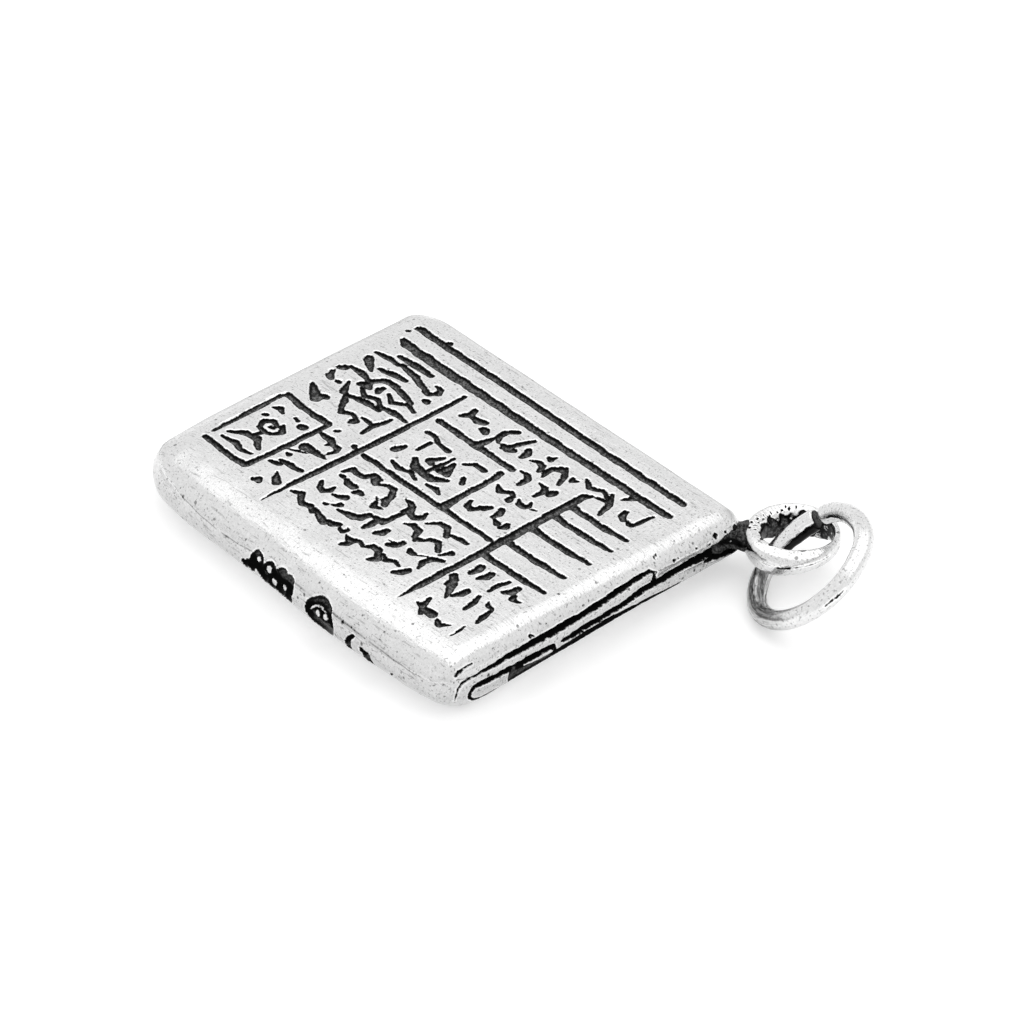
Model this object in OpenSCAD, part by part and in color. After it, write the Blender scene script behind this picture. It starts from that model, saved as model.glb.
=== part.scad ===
// A newspaper charm in silver: a small folded newspaper with engraved rules and
// type marks, a bail ring soldered to its corner, and an open jump ring.
// It lies on its plain back. +Z is up from the surface, +X runs along the lines
// of print and +Y points to the head of the page. The pieces are worked out round
// the middle of the page, and then moved so that the origin is the middle of the
// underside of the whole charm's box. Lengths are millimetres.

/* [Folded paper] */
// Width along the lines of print
paper_w = 18.1; // [16.5:0.1:19.5]
// Depth from the folded edge to the open edges
paper_d = 14.2; // [13:0.1:15.5]
// Thickness of the whole stack
paper_t = 2.5; // [2.3:0.05:2.7]
// How far the near side's rounding, the main fold, reaches in
fold_reach = 1.6; // [1.3:0.05:1.8]
// How far the left side's rounding, the spine, reaches in
spine_reach = 1.2; // [1:0.05:1.5]
// How far the rounding of the leaf end and of the head side reaches in
edge_reach = 0.95; // [0.8:0.05:1.1]
// Radius, seen from above, of the corner between the fold and the spine
corner_r = 2.6; // [2.2:0.1:2.8]

/* [Engraving] */
// Depth of the rules and type marks in the page
ink_depth = 0.16; // [0.1:0.01:0.25]
// Depth of the grooves between the leaves, from the end's outermost line
leaf_depth = 0.5; // [0.4:0.05:0.6]
// Depth of the leaf lines along the head side, from its outermost line
head_depth = 0.25; // [0.15:0.05:0.35]
// Depth of the punch marks in the fold, from the side's outermost line
punch_depth = 0.36; // [0.3:0.02:0.45]

/* [Bail ring] */
// Radius of the middle of the bail's wall
bail_r = 1.5; // [1.45:0.05:1.6]
// Thickness of the bail's wall
bail_wall = 0.46; // [0.36:0.02:0.5]
// Height of the bail's band
bail_h = 0.8; // [0.7:0.05:0.9]
// Height of the bail's middle above the surface
bail_z = 1.5; // [1.45:0.05:1.55]

/* [Jump ring] */
// Radius of the middle of the jump ring's wire
jump_r = 2.37; // [2.34:0.01:2.4]
// Diameter of the wire
wire_d = 0.72; // [0.6:0.02:0.74]
// Tilt of the ring from level, in degrees
jump_tilt = 39.4; // [38.5:0.1:40.5]
// Way in which the ring slopes down, in degrees from +X
jump_heading = -128.2; // [-129:0.1:-127]
// Width of the cut between the wire's two ends
jump_gap = 0.15; // [0.1:0.05:0.3]

/* [Hidden] */
$fn = 48;

half_w = paper_w / 2;
half_d = paper_d / 2;
mid_z = paper_t / 2;
// Steps of one quarter of a rounded side
nose_steps = 8;
// Ways that the sides face within a quarter turn: the straight sides, and then
// the facets that round the corners between them
side_turns = [0, 45, 22.5, 67.5];
// Longer than anything that is cut or trimmed
long = 60;
// How far every cut runs on past the face that it is made in
cut_past = 1;

// The rules and marks are laid out for a page of this size and spread with it
layout_w = 18.1;
layout_d = 14.2;
spread_x = paper_w / layout_w;
spread_y = paper_d / layout_d;

// Straight rules of the page: x and y of one end, x and y of the other, width
RULES = [
    // Two long rules under the page's head
    [-7.59, 5.59, 7.14, 5.59, 0.30],
    [-7.49, 4.59, 7.38, 4.59, 0.34],
    // Column rules and the rule between the upper and lower stories
    [-2.93, 4.07, -2.93, -5.72, 0.27],
    [-2.55, -1.02, 4.29, -1.02, 0.21],
    [4.50, 3.45, 4.58, -5.43, 0.30],
    // Rule under the middle story's headline, and the bar beside its picture
    [-2.55, 2.36, 1.63, 2.36, 0.25],
    [1.52, 1.93, 1.63, -0.97, 0.28],
    // Frame of the left picture
    [-7.54, -0.73, -4.93, -0.73, 0.26],
    [-4.93, -0.78, -4.93, -4.58, 0.26],
    [-4.93, -4.63, -7.40, -4.63, 0.26],
    [-7.40, -4.20, -7.54, -0.73, 0.26]
];

// Short rules on the right: the y of each, and their shared ends and width
SHORT_RULE_Y = [2.52, 1.70, 0.64, -0.52, -1.60];
short_x0 = 4.67;
short_x1 = 7.65;
short_w = 0.26;

// Rows of type marks: x of the row's start and end, y, number of marks, length
// and width of a mark, and its mean turn in degrees
TYPE_ROWS = [
    // Headline block
    [-6.5, -4.2, 3.85, 2, 1.3, 0.26, -6],
    [-6.8, -4.2, 3.20, 2, 1.6, 0.28, 8],
    [-6.7, -4.1, 2.55, 2, 1.4, 0.28, -9],
    [-6.6, -4.2, 1.90, 2, 1.5, 0.26, 5],
    [-6.7, -4.1, 1.25, 2, 1.6, 0.28, -4],
    [-6.7, -4.3, 0.50, 3, 0.8, 0.26, 30],
    // Marks beside the left picture
    [-4.2, -4.2, -1.45, 1, 0.9, 0.22, -20],
    [-4.1, -4.1, -2.30, 1, 0.9, 0.22, 15],
    [-4.1, -4.1, -3.40, 1, 0.9, 0.22, -12],
    [-4.0, -4.0, -4.30, 1, 0.5, 0.24, 35],
    // Middle story's headline and its short lines
    [-2.1, 1.0, 3.45, 5, 0.45, 0.28, 55],
    [1.9, 3.6, 3.40, 3, 0.42, 0.26, -50],
    [2.0, 3.4, 2.20, 3, 0.45, 0.24, 60],
    [2.0, 3.5, 1.25, 3, 0.45, 0.24, -20],
    [2.1, 3.6, 0.10, 3, 0.45, 0.24, 40],
    // Lower story
    [-2.1, 3.9, -1.75, 7, 0.50, 0.26, 25],
    [-2.1, 3.9, -2.65, 7, 0.45, 0.28, -35],
    [-2.1, 3.9, -3.45, 7, 0.45, 0.28, 40],
    [-2.1, 3.9, -4.35, 7, 0.48, 0.26, -20],
    // Lower right corner
    [5.3, 7.4, -2.45, 4, 0.42, 0.26, 85],
    [5.2, 7.5, -3.60, 4, 0.50, 0.26, 105],
    [5.6, 7.3, -5.15, 2, 0.45, 0.26, 20]
];
// How far the marks of a row swing either side of its mean turn
type_swing = 22;

// Small pictures, laid out as the rules are: a tree on a hill under a sun on the
// left, and a sailing boat with a filled sail in the middle
HILL_AND_HULL = [
    [-7.0, -3.75, -6.4, -3.3, 0.24],
    [-6.4, -3.3, -5.9, -3.3, 0.26],
    [-5.9, -3.3, -5.35, -3.75, 0.24],
    [-6.15, -3.3, -6.15, -2.6, 0.20],
    [-0.9, -0.1, 0.5, -0.1, 0.34]
];
crown_at = [-6.15, -2.35];
crown_r = 0.38;
sun_at = [-5.45, -1.55];
sun_r = 0.26;
sail = [[-0.5, 0.35], [-0.1, 1.70], [0.65, 0.35]];

// Grooves between the leaves on the right end. Columns are y, depth below the
// page's top and width of the groove there, from the fold to the head side.
OUTER_GROOVE = [
    [-6.72, 1.36, 0.08],
    [-6.52, 0.94, 0.09],
    [-5.94, 0.82, 0.10],
    [-4.85, 0.77, 0.15],
    [-3.75, 0.74, 0.22],
    [-2.10, 0.71, 0.28],
    [0.13, 0.61, 0.25],
    [1.24, 0.50, 0.24],
    [2.44, 0.43, 0.15]
];
MIDDLE_GROOVE = [
    [-1.90, 1.24, 0.10],
    [-1.13, 1.20, 0.22],
    [0.53, 1.10, 0.21],
    [1.66, 1.02, 0.22],
    [2.81, 0.92, 0.32],
    [4.54, 0.83, 0.34],
    [5.77, 0.86, 0.46],
    [6.30, 0.82, 0.56]
];
INNER_GROOVE = [
    [-2.30, 1.72, 0.20],
    [-1.64, 1.68, 0.14],
    [-1.11, 1.69, 0.26],
    [0.00, 1.60, 0.28],
    [1.08, 1.55, 0.24],
    [2.20, 1.55, 0.14],
    [3.60, 1.52, 0.05]
];
// The loop of the innermost leaf, from its top line round the fold
LOOP_GROOVE = [
    [-6.08, 1.66, 0.10],
    [-6.04, 1.32, 0.14],
    [-5.75, 1.18, 0.20],
    [-3.86, 1.27, 0.27],
    [-2.20, 1.25, 0.22]
];
LOOP_FOOT = [
    [-6.08, 1.66, 0.10],
    [-5.90, 1.86, 0.10],
    [-4.90, 1.92, 0.06]
];
// Pocket behind the innermost leaf and the leaf left standing in it: lowest
// and highest y, then the least and most depth below the page's top
POCKET = [-4.18, -2.08, 1.20, 1.90];
ISLAND = [-3.50, -2.20, 1.42, 1.58];

// Straight leaf lines along the head side: depth below the top, start and end
HEAD_LINES = [
    [0.70, -7.6, 6.6],
    [1.20, -7.2, 6.9],
    [1.70, -7.6, 6.3]
];
head_line_w = 0.16;

// Punch marks on the fold, as x and height above the surface
lobe_r = 0.46;
lobe_x = [-1.55, -0.70, 0.15];
lobe_z = 1.38;
pip_r = 0.15;
oval_at = [2.1, 1.30];
oval_r = 0.56;
oval_rise = 0.10;
oval_core_r = 0.24;
bar_from = [3.75, 1.14];
bar_to = [4.85, 0.85];
bar_w = 0.34;

// How far the bail's middle lies out from the page's upper right corner
bail_out = [1.2, 0.8];
bail_at = [half_w + bail_out[0], half_d + bail_out[1]];
// Solder between the corner and the bail: how far inside the corner it starts,
// its width, and the heights of its underside and top
solder_in = [1.3, 1.1];
solder_w = 1.35;
solder_low = 0.85;
solder_high = 2.0;

// Middle of the jump ring, measured from the middle of the bail
jump_out = [1.86, -0.884];
jump_at = bail_at + jump_out;
jump_z = wire_d / 2 + jump_r * sin(jump_tilt);
// Where the wire is cut, in degrees round the ring from its lowest point
cut_at = 253;

// The jump ring's reach along an axis, from its slope against that axis
function ring_reach(slope) = jump_r * sqrt(1 - slope * slope) + wire_d / 2;
ring_east = ring_reach(sin(jump_tilt) * cos(jump_heading));
box_x = (jump_at[0] + ring_east - half_w) / 2;
box_y = (bail_at[1] + bail_r + bail_wall / 2 - half_d) / 2;

// How far the rounding of a side that faces the angle a reaches in
function reach_x(a) = cos(a) < 0 ? spine_reach : edge_reach;
function reach_y(a) = sin(a) < 0 ? fold_reach : edge_reach;
function nose_reach(a) = norm([reach_x(a) * cos(a), reach_y(a) * sin(a)]);

// Distance from the middle to a side that faces the angle a, where the corner
// that it belongs to has those plan radii and the round part is round_at far out
function corner_side(a, rx, ry, round_at) = (half_w - rx) * abs(cos(a))
    + (half_d - ry) * abs(sin(a)) + round_at;
function side_at(a) = a > 180 && a < 270
    ? corner_side(a, corner_r, corner_r, corner_r)
    : corner_side(a, reach_x(a), reach_y(a), nose_reach(a));

// The half ellipse that rounds a side, from its underside to its top
function nose(reach) = [
    for (i = [-nose_steps : nose_steps])
        [reach * (cos(90 * i / nose_steps) - 1), mid_z + mid_z * sin(90 * i / nose_steps)]
];

// Everything on the inner side of the rounded side that faces the angle a
module within_side(a) {
    rotate([90, 0, a])
        linear_extrude(height = long, center = true)
            translate([side_at(a), 0])
                polygon(concat([[-long, 0]], nose(nose_reach(a)), [[-long, paper_t]]));
}

// The folded paper: sides that face every way round, each with its rounding
module folded_stack() {
    intersection_for (turn = side_turns)
        intersection_for (quarter = [0 : 3])
            within_side(turn + 90 * quarter);
}

// A flat stroke with round ends
module stroke(x0, y0, x1, y1, w) {
    length = norm([x1 - x0, y1 - y0]);
    translate([x0, y0]) rotate(atan2(y1 - y0, x1 - x0)) {
        translate([0, -w / 2]) square([length, w]);
        circle(d = w);
        translate([length, 0]) circle(d = w);
    }
}

// A stroke whose ends are given as the page is laid out
module page_stroke(x0, y0, x1, y1, w) {
    stroke(x0 * spread_x, y0 * spread_y, x1 * spread_x, y1 * spread_y, w);
}

module rules() {
    for (r = RULES) page_stroke(r[0], r[1], r[2], r[3], r[4]);
    for (y = SHORT_RULE_Y) page_stroke(short_x0, y, short_x1, y, short_w);
}

// One row of type marks, turned alternately to either side
module type_row(row) {
    count = row[3];
    step = count > 1 ? (row[1] - row[0]) / (count - 1) : 0;
    for (i = [0 : count - 1]) {
        turn = row[6] + type_swing * (i % 2 == 0 ? 1 : -1);
        translate([(row[0] + i * step) * spread_x, row[2] * spread_y])
            rotate(turn)
                stroke(-row[4] / 2, 0, row[4] / 2, 0, row[5]);
    }
}

module pictures() {
    for (p = HILL_AND_HULL) page_stroke(p[0], p[1], p[2], p[3], p[4]);
    translate([crown_at[0] * spread_x, crown_at[1] * spread_y]) circle(r = crown_r);
    translate([sun_at[0] * spread_x, sun_at[1] * spread_y]) circle(r = sun_r);
    polygon([for (p = sail) [p[0] * spread_x, p[1] * spread_y]]);
}

// All that is cut into the page's top
module page_ink() {
    translate([0, 0, paper_t - ink_depth])
        linear_extrude(height = ink_depth + cut_past) {
            rules();
            for (row = TYPE_ROWS) type_row(row);
            pictures();
        }
}

// A groove's outline in y and height, from a table of y, depth and width
function groove_outline(rows) = concat(
    [for (r = rows) [r[0], paper_t - r[1] + r[2] / 2]],
    [for (i = [len(rows) - 1 : -1 : 0]) [rows[i][0], paper_t - rows[i][1] - rows[i][2] / 2]]
);

module pocket() {
    difference() {
        translate([POCKET[0], paper_t - POCKET[3]])
            square([POCKET[1] - POCKET[0], POCKET[3] - POCKET[2]]);
        translate([ISLAND[0], paper_t - ISLAND[3]])
            square([ISLAND[1] - ISLAND[0], ISLAND[3] - ISLAND[2]]);
    }
}

// The gaps between the leaves, drawn on the right end and cut in from it
module leaf_gaps() {
    translate([half_w - leaf_depth, 0, 0])
        rotate([90, 0, 90])
            linear_extrude(height = leaf_depth + cut_past) {
                polygon(groove_outline(OUTER_GROOVE));
                polygon(groove_outline(MIDDLE_GROOVE));
                polygon(groove_outline(INNER_GROOVE));
                polygon(groove_outline(LOOP_GROOVE));
                polygon(groove_outline(LOOP_FOOT));
                pocket();
            }
}

// Leaf lines along the open edges at the head of the page
module head_gaps() {
    translate([0, half_d - head_depth, 0])
        rotate([-90, 0, 0])
            linear_extrude(height = head_depth + cut_past)
                for (l = HEAD_LINES)
                    stroke(l[1], l[0] - paper_t, l[2], l[0] - paper_t, head_line_w);
}

// Plain punch marks on the fold: three lobes with a pip in each, an oval ring
// and a slanting bar
module fold_marks() {
    translate([0, punch_depth - half_d, 0])
        rotate([90, 0, 0])
            linear_extrude(height = punch_depth + cut_past) {
                difference() {
                    for (x = lobe_x) translate([x, lobe_z]) circle(r = lobe_r);
                    for (x = lobe_x) translate([x, lobe_z]) circle(r = pip_r);
                }
                difference() {
                    for (s = [-1, 1]) translate(oval_at + [0, s * oval_rise]) circle(r = oval_r);
                    translate(oval_at) circle(r = oval_core_r);
                }
                stroke(bar_from[0], bar_from[1], bar_to[0], bar_to[1], bar_w);
            }
}

// The bail: a flat band with rounded edges, bent into a closed ring
module bail() {
    straight = bail_h - bail_wall;
    translate([bail_at[0], bail_at[1], bail_z])
        rotate_extrude()
            translate([bail_r, 0]) {
                square([bail_wall, straight], center = true);
                for (s = [-1, 1]) translate([0, s * straight / 2]) circle(d = bail_wall);
            }
}

// Solder that fills the corner between the paper and the bail's wall
module solder() {
    from = [half_w, half_d] - solder_in;
    toward = atan2(bail_at[1] - from[1], bail_at[0] - from[0]);
    length = norm(bail_at - from) - bail_r;
    translate([from[0], from[1], solder_low])
        rotate(toward)
            translate([0, -solder_w / 2, 0])
                cube([length, solder_w, solder_high - solder_low]);
}

module newspaper() {
    color([0.80, 0.80, 0.82])
        translate([-box_x, -box_y, 0])
            union() {
                difference() {
                    folded_stack();
                    page_ink();
                    leaf_gaps();
                    head_gaps();
                    fold_marks();
                }
                solder();
                bail();
            }
}

module jump_ring() {
    cut_angle = 2 * asin(jump_gap / 2 / jump_r);
    color([0.86, 0.86, 0.88])
        translate([jump_at[0] - box_x, jump_at[1] - box_y, jump_z])
            rotate([0, jump_tilt, jump_heading])
                rotate([0, 0, cut_at + cut_angle / 2])
                    rotate_extrude(angle = 360 - cut_angle)
                        translate([jump_r, 0]) circle(d = wire_d);
}

newspaper();
jump_ring();
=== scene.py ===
# %% [markdown]
# # A newspaper charm in blackened silver
# The charm is a little folded newspaper, cast in one piece, with a bail ring
# soldered to its corner and an open jump ring. This lesson dresses the solid
# model: every new piece is a surface that numpy works out as whole arrays, and
# every finish is made of shader nodes. Lengths in the text are millimetres, and
# the meshes are in metres.

import math

import bpy
import numpy as np
from mathutils import Matrix, Vector

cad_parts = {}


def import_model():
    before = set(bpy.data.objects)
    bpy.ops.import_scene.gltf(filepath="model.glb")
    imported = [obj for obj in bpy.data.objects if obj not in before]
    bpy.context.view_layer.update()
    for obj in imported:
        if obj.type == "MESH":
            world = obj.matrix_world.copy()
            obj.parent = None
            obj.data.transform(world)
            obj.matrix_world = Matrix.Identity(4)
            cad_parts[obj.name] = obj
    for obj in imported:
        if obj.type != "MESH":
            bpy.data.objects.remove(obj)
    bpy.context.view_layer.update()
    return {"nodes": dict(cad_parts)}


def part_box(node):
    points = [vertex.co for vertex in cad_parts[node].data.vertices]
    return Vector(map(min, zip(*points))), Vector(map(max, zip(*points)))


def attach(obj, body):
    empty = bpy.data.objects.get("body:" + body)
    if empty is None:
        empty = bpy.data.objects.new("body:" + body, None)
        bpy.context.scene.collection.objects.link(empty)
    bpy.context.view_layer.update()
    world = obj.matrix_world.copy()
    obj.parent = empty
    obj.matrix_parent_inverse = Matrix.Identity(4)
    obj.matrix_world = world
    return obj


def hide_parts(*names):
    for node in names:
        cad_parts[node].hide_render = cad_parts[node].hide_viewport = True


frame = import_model()
MM = 0.001
PAPER_W, PAPER_D, PAPER_T = 18.1, 14.2, 2.5
HALF_W, HALF_D, MID_Z = PAPER_W / 2, PAPER_D / 2, PAPER_T / 2
paper_low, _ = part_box("newspaper")
# The middle of the page, where all of the page's places are measured from
PAGE_MID = np.array([paper_low.x / MM + HALF_W, paper_low.y / MM + HALF_D, 0.0])
print("middle of the page in mm:", PAGE_MID.round(3))

# %% [markdown]
# ## Putting an array into a mesh
# A surface could be added vertex by vertex, but hundreds of thousands of numbers
# go in far faster as whole lists and with foreach_set. The helper keeps the
# object at the origin and shades it smooth.

# %% Helpers for meshes from arrays
def mesh_from_arrays(name, slot_name, points, quads, others, values, corner_uv=None):
    """One piece from points (n, 3) in mm from the page's middle, quads (m, 4) and other faces.

    values holds one number a point for each attribute, and corner_uv (u, v) for each corner.
    """
    mesh = bpy.data.meshes.new(name)
    points = ((points + PAGE_MID) * MM).astype(np.float32)
    mesh.from_pydata(points.tolist(), [], quads.tolist() + others)
    mesh.polygons.foreach_set("use_smooth", np.ones(len(mesh.polygons), bool))
    for key, numbers in values.items():
        layer = mesh.attributes.new(key, "FLOAT", "POINT")
        layer.data.foreach_set("value", np.asarray(numbers, np.float32))
    if corner_uv is not None:
        layer = mesh.uv_layers.new(name="along")
        layer.data.foreach_set("uv", np.asarray(corner_uv, np.float32).ravel())
    mesh.update()
    piece = bpy.data.objects.new(name, mesh)
    bpy.context.scene.collection.objects.link(piece)
    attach(piece, "root")
    print(f"{name}: {len(points)} points, {len(quads)} quads and {len(others)} other faces")
    return piece


def smooth_step(x):
    """0 below 0, 1 above 1, and the cubic 3x^2 - 2x^3 between them."""
    x = np.clip(x, 0.0, 1.0)
    return x * x * (3.0 - 2.0 * x)


def past(value, place, spread):
    """0 up to a place, and 1 from spread beyond it."""
    return smooth_step((value - place) / spread)


def before(value, place, spread):
    """0 from a place onwards, and 1 up to spread before it."""
    return smooth_step((place - value) / spread)


def waves(x, y, wavelength, seed, count=7):
    """A smooth random field near -1 to 1: a sum of sines in seeded directions and phases."""
    rng = np.random.RandomState(seed)
    total = np.zeros_like(x)
    for _ in range(count):
        turn, phase, stretch = rng.uniform(0, 2 * np.pi, 3)
        k = 2 * np.pi / wavelength * (0.7 + 0.1 * stretch)
        total += np.sin(k * (np.cos(turn) * x + np.sin(turn) * y) + phase)
    return total / math.sqrt(count)


# %% [markdown]
# ## The page's engraving as a distance
# On the real charm the lines and type marks were cut into the wax, cast and then
# blackened. A texture could show them, but it gives no edge to catch the light.
# Here every stroke is a tapered capsule, and each point of the page knows its
# signed distance to the nearest one, which is below zero inside a stroke. The
# same number sinks the surface and tells the shader where the black stays.

# %% Strokes and their distance
# A distance that counts as far from everything
FAR = 9.0


def capsule_distance(x, y, strokes):
    """Signed distance to the nearest stroke, each a row x0, y0, x1, y1, r0, r1.

    The distance to a straight line, less a radius that runs from r0 to r1 along it.
    """
    nearest = np.full(x.shape, FAR)
    for x0, y0, x1, y1, r0, r1 in strokes:
        reach = max(r0, r1) + 0.5
        near = (x > min(x0, x1) - reach) & (x < max(x0, x1) + reach)
        near &= (y > min(y0, y1) - reach) & (y < max(y0, y1) + reach)
        px, py = x[near] - x0, y[near] - y0
        dx, dy = x1 - x0, y1 - y0
        t = np.clip((px * dx + py * dy) / max(dx * dx + dy * dy, 1e-9), 0, 1)
        d = np.hypot(px - t * dx, py - t * dy) - (r0 + (r1 - r0) * t)
        nearest[near] = np.minimum(nearest[near], d)
    return nearest


def spots_distance(x, y, spots):
    """Signed distance to the nearest of several discs, each a row x, y, radius."""
    return np.minimum.reduce([np.hypot(x - s[0], y - s[1]) - s[2] for s in spots])


def only_where(mask, distance):
    """The distance where mask is set, and far elsewhere."""
    return np.where(mask, distance, FAR)


def strokes_of(paths):
    """The strokes of several lines. Each line is a path of points x, y and the width there."""
    return [(*a[:2], *b[:2], a[2] / 2, b[2] / 2) for path in paths for a, b in zip(path, path[1:])]


# %% [markdown]
# ## The rules and frames of the page
# Long rules under the head, column rules, and a ladder of short rules follow the
# solid model's grooves. A straight box for each would look printed, so each is a
# short path that tapers to a point or thickens where the wax was cut deeper.

# %% Rules
# Each path's points: x, y, width
RULES = [
    [(-7.58, 5.6, 0.3), (-6.0, 5.56, 0.31), (0.0, 5.55, 0.3), (4.0, 5.52, 0.29), (7.12, 5.54, 0.26)],
    [(-7.42, 4.7, 0.2), (-7.0, 4.56, 0.42), (-5.0, 4.53, 0.45), (-1.0, 4.56, 0.38), (3.0, 4.6, 0.32),
     (7.0, 4.64, 0.29), (7.38, 4.7, 0.22)],
    [(-2.99, 3.98, 0.16), (-2.96, 2.0, 0.24), (-2.92, -0.5, 0.29), (-2.95, -3.4, 0.27),
     (-2.95, -5.45, 0.04)],
    [(-2.6, -1.05, 0.2), (-0.5, -1.03, 0.23), (1.6, -0.99, 0.22), (4.25, -0.92, 0.2)],
    [(4.62, 3.42, 0.16), (4.48, 3.15, 0.32), (4.5, 2.2, 0.37), (4.58, -0.5, 0.37), (4.62, -2.0, 0.3),
     (4.62, -4.4, 0.28), (4.64, -5.42, 0.04)],
    [(-2.5, 2.36, 0.26), (-0.8, 2.33, 0.28), (1.58, 2.36, 0.24)],
    [(1.46, 1.92, 0.26), (1.56, 1.5, 0.24), (1.56, 0.0, 0.28), (1.66, -0.85, 0.42)],
    [(-7.45, -0.72, 0.28), (-6.4, -0.84, 0.27), (-5.0, -0.8, 0.28)],
    [(-4.92, -0.85, 0.24), (-4.9, -2.7, 0.26), (-4.94, -4.55, 0.25)],
    [(-4.98, -4.62, 0.27), (-6.2, -4.66, 0.24), (-7.36, -4.58, 0.2)],
    [(-7.42, -4.22, 0.08), (-7.46, -3.6, 0.26), (-7.52, -2.2, 0.27), (-7.56, -0.95, 0.26)],
]
LADDER_Y = (2.50, 1.68, 0.62, -0.54, -1.62)
LADDER_X0, LADDER_X1 = 4.66, (7.44, 7.55, 7.60, 7.62, 7.80)
for y, x1 in zip(LADDER_Y, LADDER_X1):
    RULES.append([
        (LADDER_X0, y + 0.02, 0.34), (5.0, y - 0.02, 0.24), (6.6, y + 0.03, 0.26), (x1, y + 0.12, 0.14),
    ])
rule_strokes = strokes_of(RULES)
print(len(rule_strokes), "strokes of rules")

# %% [markdown]
# ## Type marks that say nothing
# A jeweller who cuts a page this small doesn't cut letters, only marks of the
# right size. Marks strewn at random would look too even, so each one is listed
# in its row: one of eleven kinds of short stroke, with a turn and a size.
# Seeded numbers then move its points and widths a little, so no two are alike.

# %% Kinds of mark
# Each kind is a short path round its own middle: x, y, width
KINDS = {
    "blot": [(-0.13, -0.03, 0.22), (0.02, 0.04, 0.33), (0.14, 0.0, 0.24)],
    "bean": [(-0.26, 0.05, 0.2), (0.0, -0.04, 0.32), (0.24, 0.02, 0.26)],
    "comma": [(-0.2, -0.14, 0.1), (0.0, 0.0, 0.22), (0.12, 0.14, 0.3)],
    "bar": [(-0.5, -0.02, 0.14), (0.0, 0.03, 0.26), (0.5, 0.0, 0.16)],
    "hook": [(-0.46, -0.16, 0.08), (-0.18, 0.1, 0.24), (0.14, 0.12, 0.27), (0.42, -0.22, 0.2)],
    "bow": [
        (-0.34, 0.26, 0.14), (-0.22, -0.06, 0.24), (0.06, -0.2, 0.27), (0.3, 0.0, 0.24),
        (0.26, 0.24, 0.14),
    ],
    "wave": [(-0.5, 0.06, 0.1), (-0.2, -0.1, 0.24), (0.12, 0.08, 0.18), (0.46, -0.04, 0.12)],
    "worm": [
        (-0.72, -0.12, 0.14), (-0.44, 0.1, 0.26), (-0.16, -0.06, 0.22), (0.1, -0.16, 0.26),
        (0.38, 0.06, 0.24), (0.7, -0.1, 0.14),
    ],
    "tick": [(-0.26, 0.04, 0.18), (-0.04, -0.14, 0.26), (0.24, 0.22, 0.08)],
    "wedge": [(-0.34, 0.0, 0.34), (0.0, 0.02, 0.26), (0.32, 0.0, 0.08)],
    "thin": [(-0.3, 0.0, 0.05), (0.0, 0.03, 0.1), (0.3, 0.0, 0.05)],
}
print(len(KINDS), "kinds of mark")

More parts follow.
